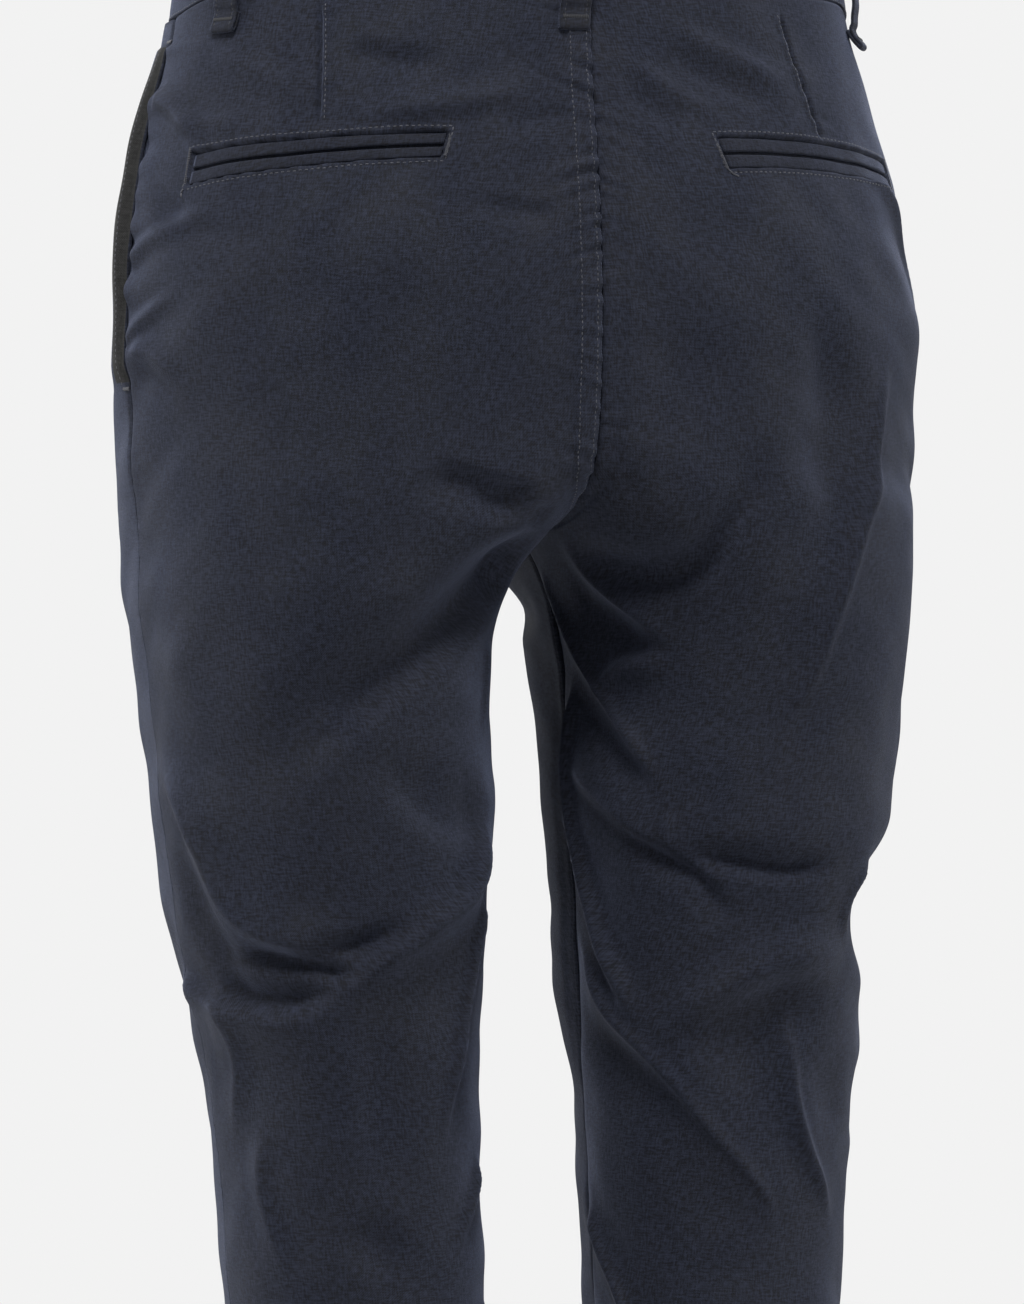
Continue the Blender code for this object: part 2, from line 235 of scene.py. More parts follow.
def formAt(name, level):
    # a smooth curve through one column of the table
    depth = -formTable[:, 0]
    value = formTable[:, form["columns"].index(name)]
    gap = np.diff(depth)
    rise = np.diff(value) / gap
    inside = (rise[:-1] * gap[1:] + rise[1:] * gap[:-1]) / (gap[:-1] + gap[1:])
    slope = np.concatenate([rise[:1], inside, rise[-1:]])
    at = -np.asarray(level, float)
    k = np.clip(np.searchsorted(depth, at, side="right") - 1, 0, len(depth) - 2)
    t = (at - depth[k]) / gap[k]
    return ((2 * t**3 - 3 * t**2 + 1) * value[k] + (t**3 - 2 * t**2 + t) * gap[k] * slope[k]
            + (3 * t**2 - 2 * t**3) * value[k + 1] + (t**3 - t**2) * gap[k] * slope[k + 1])


def ovalPoint(angle, level):
    # outward and backward place on a leg's oval; angle 0 is the back, 90 the outer side
    outer, inside = formAt("outer", level), formAt("inner", level)
    back, front = formAt("back", level), formAt("front", level)
    halfX, halfY = (outer - inside) / 2, (back - front) / 2
    sine, cosine = np.sin(np.radians(angle)), np.cos(np.radians(angle))
    inner = np.where(cosine >= 0, formAt("backSquare", level), formAt("frontSquare", level))
    square = np.where(sine >= 0, form["outerSquare"], inner)
    reach = (np.abs(sine / halfX) ** square + np.abs(cosine / halfY) ** square) ** (-1 / square)
    return (outer + inside) / 2 + reach * sine, (back + front) / 2 + reach * cosine


def girthRadius(level):
    return (formAt("outer", level) - formAt("inner", level)
            + formAt("back", level) - formAt("front", level)) / 4


def unit(v):
    return v / np.linalg.norm(v, axis=-1, keepdims=True)


def hump(away, width):
    return np.exp(-(away / width) ** 2)


handed = {"left": 1.0, "right": -1.0}


def mirrored(side, point):
    # everything is laid out on the left half, and the right half is turned over
    point[..., 0] *= handed[side]
    return point


def arcRun(point):
    # distance travelled along the first axis of a grid of points
    steps = np.linalg.norm(np.diff(point, axis=0), axis=-1)
    return np.concatenate([np.zeros((1,) + steps.shape[1:]), np.cumsum(steps, axis=0)])


def crossed(down, across):
    # every pair of a row's value and a column's value
    return np.stack(np.broadcast_arrays(down[:, None], across[None]), -1)


def ease(value, start, end):
    t = np.clip((value - start) / (end - start), 0, 1)
    return t * t * (3 - 2 * t)


def baseCloth(angle, level):
    # plain surface and its outward normal, on a leg that points outward along +X
    angle, level = np.broadcast_arrays(np.asarray(angle, float), np.asarray(level, float))
    high = np.minimum(level + 0.0005, 0.0)
    here, ahead, above, below = (np.stack([*ovalPoint(a, z), z], -1) for a, z in (
        (angle, level), (angle + 0.2, level), (angle, high), (angle, high - 0.0005)))
    return here, unit(np.cross(above - below, ahead - here))


def angleAt(level, outward, start, end):
    # where the oval stands this far out from the centre plane, for one place or many
    level, outward, start, end = np.broadcast_arrays(level, outward, float(start), float(end))
    for _ in range(30):
        middle = (start + end) / 2
        short = ovalPoint(middle, level)[0] < outward
        start, end = np.where(short, middle, start), np.where(short, end, middle)
    return (start + end) / 2


def backEdge(level):
    if formAt("inner", level) >= form["seamGap"] / 2:
        return -90.0
    return max(float(angleAt(level, form["seamGap"] / 2, -90.0, 20.0)), -90.0)


def frontEdge(side, level):
    reach = form["flyExtension"] * float(ease(level, form["flyBottom"] - 0.012, form["flyBottom"]))
    edge = form["seamGap"] / 2 + (-reach if side == "left" else reach)
    if formAt("inner", level) >= edge:
        return 270.0
    return min(float(angleAt(level, edge, 270.0, 150.0)), 270.0)


foldMaking = {
    "lift": 1.9,                  # of a rounded fold's middle, as a share of its stated height
    "creaseWidth": 2.6,           # of a pinched crease, to each side, in millimetres
    "steps": 6,                   # between two points of a run
    "heldAngle": (1, 9),          # the inseam's turnings hold it straight below the fork
    "heldDepth": (0.290, 0.335),
}


def fold(height, left, right, soft, first, last, run, pinch=0.0, crease=foldMaking["creaseWidth"]):
    path = np.array(run, float).reshape(-1, 2) / (1, -1000)
    return {"path": path, "height": height / 1000, "widths": (left / 1000, right / 1000), "soft": soft,
            "fade": (first, last), "pinch": pinch / 1000, "crease": crease / 1000}


# A fold is its height, its widths to the left and right of its run, its softness, the share of each
# end that tapers, and its run, as angle and depth below the top edge in turns. Lengths are in
# millimetres. A trough has a negative height. Left and right are seen from outside, with the leg's
# outer side right. Softness goes from 0, a sharp crease, to 1, a round roll.
folds = {
    "right": [
        fold(1.8, 18, 12, .12, .1, .3, [-85, 282, -84, 300, -78, 316, -69, 331, -59, 346, -48, 362, -39, 380,
             -33, 394], pinch=3.2),
        fold(-1.6, 12, 16, .5, .35, .35, [-80, 345, -66, 360, -49, 376, -37, 391]),
        fold(2.6, 24, 12, .2, .1, .3, [-62, 272, -58, 286, -50, 297, -42, 307, -35, 318, -33, 327], pinch=1.5),
        fold(2.4, 14, 8, .3, .3, .4, [-34, 325, -42, 330, -52, 332, -60, 339, -60, 348], pinch=.6),
        fold(-1.6, 13, 13, .5, .25, .3, [-66, 286, -62, 305, -50, 319, -38, 325]),
        fold(2, 22, 10, .25, .35, .3, [-88, 370, -74, 380, -57, 393, -44, 404, -35, 414, -27, 421], pinch=.6),
        fold(-2.6, 8, 14, .3, .35, .3, [-52, 406, -43, 412, -34, 419, -26, 426, -21, 435, -15, 449], pinch=-.8),
        fold(.6, 6, 6, .4, .4, .4, [-33, 394, -34, 404, -35, 414], pinch=.7),
        fold(1.2, 11, 11, .12, .15, .2, [-81, 335, -81, 356, -81, 376, -81, 393, -79, 410, -75, 427, -68, 443,
             -61, 459, -55, 470, -50, 481, -46, 493], pinch=4.6, crease=3.6),
        fold(2.6, 36, 20, .08, .22, .22, [-87, 449, -80, 457, -72, 468, -65, 479, -57, 489, -42, 503, -30, 518,
             -22, 532, -12, 547, -4, 559, 3, 570, 4, 586], pinch=2.6),
        fold(-1.2, 12, 30, .7, .3, .35, [-78, 490, -62, 502, -46, 514, -24, 541, -10, 561]),
        fold(1.2, 14, 16, .2, .15, .4, [-96, 562, -88, 576, -76, 592, -61, 614, -52, 642, -47, 672], pinch=2.6),
        fold(1.6, 16, 10, .15, .2, .3, [5, 481, 6, 495, 8, 509, 10, 523, 14, 538, 20, 553, 28, 568,
             38, 582], pinch=2.8),
        fold(-1.4, 16, 16, .8, .35, .4, [22, 500, 29, 522, 36, 544]),
        fold(3.6, 18, 30, .25, .3, .3, [-38, 508, -30, 492, -20, 478, -10, 468, -1, 462, 9, 459, 18, 460,
             30, 465], pinch=.6),
        fold(-3, 14, 50, .8, .35, .4, [-32, 504, -20, 492, -7, 482, 6, 476, 22, 478]),
        fold(1.4, 20, 12, .15, .25, .3, [48, 190, 38, 221, 31, 244, 23, 260, 16, 280, 9, 306, 4, 331, -1, 352,
             -6, 372], pinch=3),
        fold(-3.8, 20, 22, .7, .3, .4, [35, 165, 28, 205, 17, 248, 6, 284, 0, 306]),
        fold(-3.4, 19, 10, .45, .15, .35, [-62, 275, -54, 284, -46, 291, -36, 294, -27, 291, -20, 284, -14, 272,
             -6, 254, 2, 238, 6, 226]),
        fold(-3.4, 15, 7, .4, .3, .3, [-31, 413, -22, 417, -12, 420, -2, 422, 8, 421, 17, 417], pinch=-1.2),
        fold(-9.6, 36, 44, .45, .3, .34, [128, 436, 104, 439, 84, 441, 66, 442, 48, 440, 32, 436, 20, 430]),
        fold(.4, 6, 6, .3, .3, .4, [38, 419, 29, 427, 24, 437, 24, 447, 30, 458], pinch=2),
        fold(1.4, 30, 30, .8, .3, .5, [100, 500, 76, 504, 54, 500]),
        fold(.6, 16, 10, .6, .3, .4, [94, 540, 66, 546, 46, 553, 38, 563]),
        fold(1.2, 34, 34, .9, .3, .4, [96, 596, 74, 604, 50, 610]),
        fold(-1.5, 30, 34, .9, .3, .4, [92, 140, 74, 146, 56, 152]),
        fold(1.4, 30, 30, .9, .3, .4, [96, 222, 74, 234, 60, 246]),
        fold(1.8, 36, 36, .9, .3, .4, [96, 360, 74, 364, 56, 366]),
        fold(2, 40, 40, .9, .14, .3, [-118, 280, -114, 330, -111, 390, -108, 470, -106, 540]),
        fold(1.5, 10, 9, .5, .3, .35, [16, 46, 25, 56, 36, 66, 47, 74]),
        fold(-1.2, 9, 9, .6, .3, .4, [14, 60, 24, 70, 35, 79, 44, 85]),
        fold(1.3, 9, 10, .5, .3, .4, [4, 64, 12, 73, 21, 84, 29, 90]),
        fold(-.9, 9, 9, .7, .3, .4, [3, 78, 10, 87, 18, 94]),
        fold(-.8, 22, 22, .9, .4, .4, [-4, 150, 14, 144, 34, 150]),
        fold(1, 8, 10, .4, .3, .4, [52, 104, 66, 118, 76, 150, 80, 200], pinch=.5),
        fold(-1.4, 8, 8, .6, .4, .3, [-30, 224, -30, 244, -34, 262]),
    ],
    "left": [
        fold(-7.4, 38, 15, .45, .12, .4, [-52, 288, -37, 300, -22, 316, -9, 331, 3, 345, 13, 359, 21, 373,
             27, 388]),
        fold(.8, 10, 16, .6, .35, .5, [-34, 334, -18, 350, -6, 364]),
        fold(-3, 16, 34, .6, .35, .3, [-4, 366, -10, 386, -20, 397, -33, 399, -46, 391]),
        fold(2.8, 14, 24, .25, .35, .25, [89, 374, 80, 378, 74, 383, 64, 394, 57, 410, 53, 425, 48, 436,
             41, 444, 31, 450, 19, 454, 7, 456, -3, 456], pinch=1),
        fold(-2, 18, 13, .7, .3, .3, [76, 406, 71, 420, 65, 436, 58, 452, 50, 465, 42, 474]),
        fold(-2.8, 6, 10, .4, .3, .3, [50, 463, 40, 458, 26, 461, 14, 465, 5, 462], pinch=-1),
        fold(-3, 9, 12, .4, .3, .3, [62, 467, 52, 474, 40, 478, 27, 478, 14, 472], pinch=-.5),
        fold(3, 24, 8, .3, .2, .3, [98, 468, 82, 474, 63, 480, 47, 483, 31, 484, 18, 480, 8, 472]),
        fold(4.6, 20, 13, .2, .3, .3, [20, 479, 9, 471, 0, 460, -9, 449, -19, 440, -27, 433, -34, 423, -40, 410,
             -46, 394], pinch=1.1),
        fold(-2.6, 7, 11, .4, .35, .3, [30, 455, 20, 455, 9, 454, -2, 450, -11, 444, -17, 438], pinch=-1),
        fold(-1.8, 14, 24, .8, .3, .4, [10, 480, 5, 496, 3, 516, 3, 545, 2, 568]),
        fold(1.4, 24, 14, .4, .25, .4, [68, 474, 58, 486, 57, 506, 62, 526, 70, 544], pinch=.7),
        fold(1.4, 14, 10, .3, .3, .4, [45, 530, 49, 548, 49, 565, 46, 580, 39, 605], pinch=.5),
        fold(1.3, 18, 6, .1, .12, .4, [-41, 430, -37, 455, -32, 478, -28, 500, -24, 522, -21, 546], pinch=3.6),
        fold(.6, 10, 10, .1, .3, .4, [-52, 546, -43, 562, -35, 575, -28, 592], pinch=2.6),
        fold(.6, 8, 8, .2, .3, .4, [-42, 316, -43, 345, -40, 366], pinch=1.1),
        fold(2, 12, 12, .1, .35, .4, [-60, 606, -50, 632, -42, 668], pinch=.8),
        fold(.4, 5, 5, .4, .4, .4, [13, 350, 14, 362], pinch=.6),
        fold(-2.2, 18, 18, .7, .4, .4, [16, 570, 4, 586, -8, 598]),
        fold(-3.8, 30, 30, .8, .25, .25, [-74, 388, -71, 426, -74, 470]),
        fold(-3.6, 22, 22, .8, .25, .3, [-82, 290, -72, 300, -62, 312]),
        fold(-1.3, 44, 44, .9, .25, .3, [114, 430, 110, 500, 108, 640]),
        fold(2, 50, 50, .9, .4, .4, [98, 170, 98, 230, 98, 300]),
        fold(.6, 20, 20, .8, .4, .4, [60, 310, 56, 340, 52, 365]),
        fold(-1.1, 10, 7, .6, .5, .3, [24, 128, 8, 133, -4, 136]),
        fold(-3, 18, 6, .4, .3, .2, [2, 244, -12, 251, -28, 257]),
        fold(-2, 10, 8, .5, .4, .2, [-10, 256, -24, 262, -38, 266]),
        fold(2, 9, 14, .4, .25, .4, [46, 90, 32, 89, 18, 83, 6, 74]),
        fold(-1.8, 10, 10, .6, .3, .4, [50, 62, 40, 67, 28, 69]),
        fold(-1, 8, 10, .7, .3, .5, [-2, 86, 8, 92, 20, 96]),
        fold(1.4, 10, 10, .6, .3, .4, [76, 56, 66, 68, 56, 80, 50, 90]),
        fold(1, 8, 10, .6, .3, .4, [82, 90, 70, 94, 60, 92]),
        fold(1.4, 8, 10, .4, .05, .5, [88, 78, 80, 86, 74, 98, 71, 112]),
        fold(1.6, 10, 9, .4, .05, .5, [88, 150, 79, 142, 70, 136, 62, 134]),
        fold(1.3, 8, 9, .4, .05, .5, [88, 186, 80, 178, 73, 172, 67, 169]),
        fold(-1.2, 10, 10, .7, .3, .5, [86, 116, 70, 140, 52, 150]),
        fold(1.6, 8, 10, .4, .2, .6, [87, 190, 74, 196, 60, 216]),
    ],
}
# folds of the same kind where neither side shows: across the front of the knee, from the fork
# up over the hip, and a few soft breaks above the hem
hiddenFolds = [
    fold(-4, 14, 18, .5, .4, .4, [150, 452, 176, 468, 204, 466, 226, 450]),
    fold(3, 18, 12, .6, .4, .4, [146, 432, 176, 446, 208, 444, 232, 428]),
    fold(-3, 14, 14, .6, .4, .4, [140, 512, 166, 520, 196, 506]),
    fold(3.4, 12, 14, .25, .2, .6, [250, 262, 228, 246, 204, 220, 186, 190]),
    fold(3, 12, 14, .35, .2, .5, [254, 280, 232, 280, 206, 262, 180, 238]),
    fold(-3, 10, 10, .6, .3, .5, [252, 272, 230, 264, 205, 240, 188, 214]),
    fold(-2.6, 12, 14, .6, .3, .5, [258, 302, 236, 312, 212, 306]),
    fold(-3, 16, 18, .7, .4, .4, [20, 690, 4, 712, -26, 720, -60, 702]),
    fold(3, 16, 12, .35, .4, .4, [60, 760, 30, 790, -4, 800]),
    fold(2.4, 14, 14, .25, .4, .4, [-70, 640, -50, 680, -30, 730, -14, 790]),
    fold(3.2, 14, 14, .4, .4, .4, [110, 880, 70, 900, 30, 896, 0, 880]),
    fold(-3, 12, 14, .6, .4, .4, [100, 920, 60, 934, 24, 930]),
    fold(3.6, 14, 14, .4, .4, .4, [150, 930, 185, 946, 225, 934, 250, 915]),
    fold(-3, 12, 12, .6, .4, .4, [158, 962, 190, 976, 226, 966]),
    fold(2.6, 12, 14, .4, .4, .4, [262, 900, 276, 930, 296, 945]),
]


def smoothRun(points, steps):
    # a smooth line through a fold's points
    p = np.array(points, float)
    p = np.vstack([2 * p[0] - p[1], p, 2 * p[-1] - p[-2]])
    t = np.linspace(0, 1, steps, endpoint=False)[:, None]
    runs = [0.5 * (2 * b + (c - a) * t + (2 * a - 5 * b + 4 * c - d) * t**2 + (3 * b - a - 3 * c + d) * t**3)
            for a, b, c, d in zip(p[:-3], p[1:-2], p[2:-1], p[3:])]
    return np.vstack(runs + [p[-2:-1]])


def addFold(fold, angle, level, height, turn=0.0, drop=0.0, scale=1.0):
    run = smoothRun(fold["path"], foldMaking["steps"])
    run = np.stack([np.radians(run[:, 0] + turn) * girthRadius(run[:, 1] + drop), run[:, 1] + drop], -1)
    left, right = fold["widths"]
    reach = max(left, right)
    around = np.radians(angle) * girthRadius(level)
    near = ((level > run[:, 1].min() - reach) & (level < run[:, 1].max() + reach)
            & (around > run[:, 0].min() - reach) & (around < run[:, 0].max() + reach))
    if not near.any():
        return
    point = np.stack([around[near], level[near]], -1)
    best = np.full(len(point), 1e9)
    side = np.zeros(len(point))
    along = np.zeros(len(point))
    lengths = np.linalg.norm(np.diff(run, axis=0), axis=1)
    starts = np.concatenate([[0], np.cumsum(lengths)])
    for k, (a, b) in enumerate(zip(run[:-1], run[1:])):
        step = b - a
        t = np.clip(((point - a) @ step) / (step @ step), 0, 1)
        off = point - a - t[:, None] * step
        distance = np.hypot(off[:, 0], off[:, 1])
        closer = distance < best
        best[closer] = distance[closer]
        side[closer] = (step[0] * off[:, 1] - step[1] * off[:, 0])[closer]
        along[closer] = ((starts[k] + t * lengths[k]) / starts[-1])[closer]
    q = best / np.where(side > 0, left, right)
    bend = 0.06 + 0.9 * fold["soft"]
    q = (np.sqrt(q * q + bend * bend) - bend) / (math.sqrt(1 + bend * bend) - bend)
    first, last = fold["fade"]
    taper = ease(along, 0, first) * ease(1 - along, 0, last)
    pinch = fold["pinch"] * hump(best, fold["crease"])
    fromInseam = np.abs((angle[near] + 270) % 360 - 180)
    taper *= 1 - (1 - ease(fromInseam, *foldMaking["heldAngle"])) * ease(-level[near], *foldMaking["heldDepth"])
    rounded = foldMaking["lift"] * fold["height"] * np.clip(1 - q, 0, 1) ** 2
    height[near] += scale * taper * (rounded + pinch)


waves = {
    "seed": 7,
    "sizes": [(0.16, 0.0012, 5), (0.07, 0.0006, 6), (0.030, 0.00025, 8)],   # length, height, count
}


def unevenness(side, around, level):
    # slow swells that keep the cloth from lying quite smooth
    dice = np.random.default_rng(waves["seed"] + (side == "right"))
    total = np.zeros_like(level)
    for length, tall, count in waves["sizes"]:
        for _ in range(count):
            turn, phase = dice.uniform(0, math.pi), dice.uniform(0, 2 * math.pi)
            pitch = 2 * math.pi / (length * dice.uniform(0.7, 1.4))
            total += tall / math.sqrt(count) * np.sin(
                pitch * (around * math.cos(turn) + level * math.sin(turn)) + phase)
    return total


def foldRelief(side, angle, level):
    height = np.zeros_like(level)
    for turn in (-360.0, 0.0, 360.0):
        for fold in folds[side]:
            addFold(fold, angle + turn, level, height)
        for number, fold in enumerate(hiddenFolds):
            shift = 6.0 * math.sin(2.3 * number + (1.7 if side == "right" else 0.0))
            addFold(fold, angle + turn, level, height, turn=shift, drop=0.0015 * shift,
                    scale=1.0 + 0.04 * shift)
    wrapped = np.radians((angle + 90.0) % 360.0 - 90.0)
    return height + unevenness(side, wrapped * girthRadius(level), level)


def seamRise(angle):
    # the waistband's lower seam rides up across the back and dips a little at the side
    angle = np.asarray(angle, float)
    return 0.0085 * (1 - ease(angle, 66.0, 92.0)) - 0.0022 * hump(angle - 98.0, 12.0)


panelMaking = {
    "rowStep": {"back": 0.0019, "front": 0.0027},
    "shinStep": 0.0031,
    "shin": -0.625,
    "columns": {"back": 128, "front": 96},
    "edgeSteps": (0.0, 0.0005, 0.0011, 0.0018, 0.0027, 0.0040, 0.0056, 0.0075),
    "fineRows": [(-0.040, -0.086, 0.0013), (-0.086, -0.130, 0.0010), (-0.130, -0.250, 0.0013),
                 (-0.250, -0.292, 0.0012)],      # waist, pocket, seat, fork
    "fan": (0.080, 0.380),
    "seamRoll": 0.0009,          # how far an edge dips into its seam
    "seamRollWidth": 0.0016,
    "flatSeam": (0.22, 0.27),    # below this the side seam and inseam lie almost flat
    "centreEase": 0.030,         # how far from the centre plane the folds come up
    "centreHold": 0.0025,
    "centreHoldLevels": (-0.290, -0.272),
    "hemTop": 0.9895,            # of the turned-up hem, which stands off by hemRise
    "hemRise": 0.0004,
    "hemWall": 1.9,              # of the cloth's own thickness
}
mouth = {
    "top": -0.053,
    "bottom": -0.206,
    "gape": 0.0062,
    "bulge": 0.0020,
    "loose": {"left": 1.0, "right": 0.15},
    "rollOver": 0.0042,
    "paintedShade": 0.0150,           # painted shade: how far the dark grey strip reaches back from the front edge, where the open mouth's inside lies in shade
    "reach": 0.055,
    "waveHeight": 0.0017,
    "swing": 0.0014,             # of the back panel's edge, forwards and backwards
    "drawBack": 0.0004,
    "pucker": 0.00012,
}
backPocket = {
    "angles": {"left": (26.8, 73.0), "right": (22.5, 70.5)},
    "top": {"left": -0.0990, "right": -0.0983},
    "slope": {"left": -0.0059, "right": -0.0040},
    "bow": {"left": 0.0014, "right": 0.0030},
    "tall": {"left": (0.0114, 0.0147), "right": (0.0142, 0.0130)},
    "jetGap": 0.0013,
    "topGap": 0.0009,
    "jetLift": -0.0012,
    "recess": 0.0028,
    "frame": 0.0021,             # from the mouth's edge to the stitching round it
    "threadEnd": {"left": [(73.6, -0.1215), (73.9, -0.1232), (73.7, -0.1250)],
                  "right": [(21.6, -0.1118), (22.1, -0.1136), (22.9, -0.1152), (23.8, -0.1160)]},
}
dart = {
    "angles": {"left": (55.0, 50.2), "right": (47.0, 49.0)},
    "top": -0.040,
    "bottom": -0.0985,
    "gather": 0.72,              # how close the columns come along it
    "gatherWidth": 0.07,
    "groove": (0.0022, 0.0, 0.0011),        # depth, place beside the dart's line, width
    "ridge": (0.0008, -0.0024, 0.0014),
    "pucker": 0.0006,
}
seatSeam = {
    "pucker": {"left": 0.0014, "right": 0.0005},
    "puckerReach": 0.011,
    "lap": {"left": 0.0011, "right": -0.0007},         # felled seam, the left side laid over the right
    "lapEdge": (0.0095, 0.0120),
    "stitches": (0.0024, 0.0098),
    "foot": -0.262,
}
fly = {"lap": {"left": 0.0011, "right": -0.0004}, "edge": (0.034, 0.046)}


def panelLevels(part):
    top, bottom = -form["bandHeight"] - form["seamGap"], form["hem"]
    levels = [top]
    while levels[-1] > bottom + 0.001:
        step = panelMaking["rowStep"][part] if levels[-1] > panelMaking["shin"] else panelMaking["shinStep"]
        for start, end, fine in panelMaking["fineRows"]:
            if part == "back" and end < levels[-1] <= start:
                step = fine
        levels.append(levels[-1] - step)
    levels[-1] = bottom
    return levels


def columnAngles(part, level, seam, edge, centre, gather=None):
    # columns from the side seam to the centre or inseam edge, closer together along both; they fan
    # out slowly into the fork, and only those by the edge follow its quick turn under the crotch
    inseam = -90.0 if centre == 0.0 else 270.0
    fan = centre + (inseam - centre) * float(ease(-level, *panelMaking["fan"]))
    arc = math.radians(abs(edge - seam)) * float(girthRadius(level))
    fine = np.array(panelMaking["edgeSteps"]) / arc
    even = np.linspace(fine[-1], 1 - fine[-1], panelMaking["columns"][part])[1:-1]
    share = np.concatenate([fine, even, 1 - fine[::-1]])
    if gather is not None:
        middle = (gather - seam) / (fan - seam)
        off = np.clip((share - middle) / dart["gatherWidth"], -1, 1)
        pull = dart["gather"] * (1 - ease(-level, -dart["bottom"], -dart["bottom"] + 0.03))
        share = share - pull * dart["gatherWidth"] * np.sin(math.pi * off) / math.pi
    return seam + (fan - seam) * share + (edge - fan) * share ** 4


def mouthGape(level, fromSeam):
    down = np.clip((level - mouth["top"]) / (mouth["bottom"] - mouth["top"]), 0, 1)
    shut = np.clip(fromSeam / mouth["reach"], 0, 1)
    turnedDown = 1 - 0.88 * hump(fromSeam, mouth["rollOver"])        # the strip meets the back panel
    return mouth["gape"] * np.sin(math.pi * down) ** 0.55 * (1 - ease(shut, 0, 1)) * turnedDown


def mouthWave(level):
    # the loose edge of the back panel along the mouth
    inside = ease(level, mouth["bottom"], mouth["bottom"] + 0.02) * ease(-level, -mouth["top"], 0.065)
    wave = (0.6 * np.sin(2 * math.pi * level / 0.043 + 0.9) + 0.5 * np.sin(2 * math.pi * level / 0.027 + 2.1)
            + 0.25 * np.sin(2 * math.pi * level / 0.014))
    return inside * wave


def pocketEdges(side, angle):
    # top level and height of a back pocket's mouth; the height differs a little from end to end
    first, last = backPocket["angles"][side]
    share = (angle - first) / (last - first)
    inner, outer = backPocket["tall"][side]
    top, slope, bow = (backPocket[key][side] for key in ("top", "slope", "bow"))
    return top + slope * share + 4 * bow * share * (1 - share), inner + (outer - inner) * share


def pocketPlace(side, angle, level):
    # distance out of the pocket's mouth, negative inside, in metres
    first, last = backPocket["angles"][side]
    top, tall = pocketEdges(side, angle)
    above = level - top
    below = top - tall - level
    inward = np.radians(first - angle) * form["hipRadius"]
    outward = np.radians(angle - last) * form["hipRadius"]
    return np.maximum(np.maximum(above, below), np.maximum(inward, outward))


def dartLine(side, level):
    top, bottom = dart["angles"][side]
    return top + (bottom - top) * (dart["top"] - level) / (dart["top"] - dart["bottom"])


def dartDistance(side, angle, level):
    return np.radians(angle - dartLine(side, level)) * form["hipRadius"]


def makeGrid(side, part):
    levels = panelLevels(part)
    rows = []
    for level in levels:
        seam = float(formAt("seam", level))
        half = math.degrees(form["seamGap"] / 2 / float(girthRadius(level)))
        if part == "back":
            rows.append(columnAngles(part, level, seam - half, backEdge(level) + half, 0.0,
                                     dartLine(side, level))[::-1])
        else:
            rows.append(columnAngles(part, level, seam + half, frontEdge(side, level) - half, 180.0))
    angle = np.array(rows)
    level = np.repeat(np.array(levels)[:, None], angle.shape[1], 1)
    level += seamRise(angle) * (1 - ease(-level, 0.040, 0.085))
    base, normal = baseCloth(angle, level)
    run = arcRun(np.swapaxes(base, 0, 1)).T
    fromCentre, fromSeam = (run, run[:, -1:] - run)[::1 if part == "back" else -1]
    rise = foldRelief(side, angle, level) * ease(base[..., 0], 0.0, panelMaking["centreEase"])
    seamEdge = hump(fromSeam, panelMaking["seamRollWidth"]) * (1 - 0.9 * ease(-level, *panelMaking["flatSeam"]))
    centreEdge = hump(fromCentre, panelMaking["seamRollWidth"])
    openMouth = ease(level, mouth["bottom"], mouth["bottom"] + 0.01) * ease(-level, -mouth["top"], 0.056)
    loose = mouth["loose"][side]
    if part == "back":
        rise -= panelMaking["seamRoll"] * (seamEdge * (1 - 0.8 * openMouth) + centreEdge)
        rise += loose * mouth["waveHeight"] * mouthWave(level) * np.exp(-fromSeam / 0.016)
        rise += backRelief(side, angle, level, fromCentre)
    else:
        rise -= panelMaking["seamRoll"] * (seamEdge * (1 - openMouth) + centreEdge)
        rise += loose * mouthGape(level, fromSeam)
        rise += frontRelief(side, level, fromCentre)
    rise += seamPucker(side, level, fromSeam, mouth["pucker"], 0.008) * (1 - openMouth)
    rise += loose * mouth["bulge"] * openMouth * np.exp(-fromSeam / 0.030)
    rise += panelMaking["hemRise"] * ease(-level, panelMaking["hemTop"] - 0.001, panelMaking["hemTop"])
    point = base + normal * rise[..., None]
    # the centre seam closes on its plane, so its edge may only dip straight in
    hold = hump(fromCentre, panelMaking["centreHold"]) * ease(level, *panelMaking["centreHoldLevels"])
    point[..., 0] += (base[..., 0] - point[..., 0]) * hold
    if part == "back":
        swing = mouth["swing"] * np.clip(mouthWave(level), -1, 1) - mouth["drawBack"]
        swing = swing * openMouth * np.exp(-fromSeam / 0.012)
        point += unit(np.gradient(base, axis=1)) * swing[..., None]
    low = form["seamGap"] / 2
    clear = low if part == "back" else low - form["flyExtension"]
    point[..., 0] = np.maximum(point[..., 0], np.where(base[..., 0] < low, base[..., 0], clear))
    point = mirrored(side, point)
    face = unit(np.cross(np.gradient(point, axis=1), np.gradient(point, axis=0)) * handed[side])
    return dict(side=side, part=part, angle=angle, level=level, point=point, face=face,
                fromCentre=fromCentre, fromSeam=fromSeam,
                flat=(float(run[:, -1].max()), levels[0] - levels[-1]),
                area=float(-np.trapz(run[:, -1], levels)))


def seamPucker(side, level, fromEdge, tall, reach):
    # fine uneven gathers that a tight line of stitching pulls into the cloth
    shift = 1.3 if side == "left" else 0.2
    slant = level + 0.45 * fromEdge * np.sin(level * 43 + shift)
    ripple = (np.sin(2 * math.pi * slant / 0.0098 + shift + 2.2 * np.sin(level * 57 + shift))
              + 0.7 * np.sin(2 * math.pi * slant / 0.0061 + 2.0 * shift + 1.7 * np.sin(level * 91)))
    strength = 0.65 + 0.35 * np.sin(level * 118 + 2.0 * shift) * np.sin(level * 71 + 2.0)
    return tall * ripple * strength * np.exp(-fromEdge / (reach * (1 + 0.4 * np.sin(level * 160 + shift))))


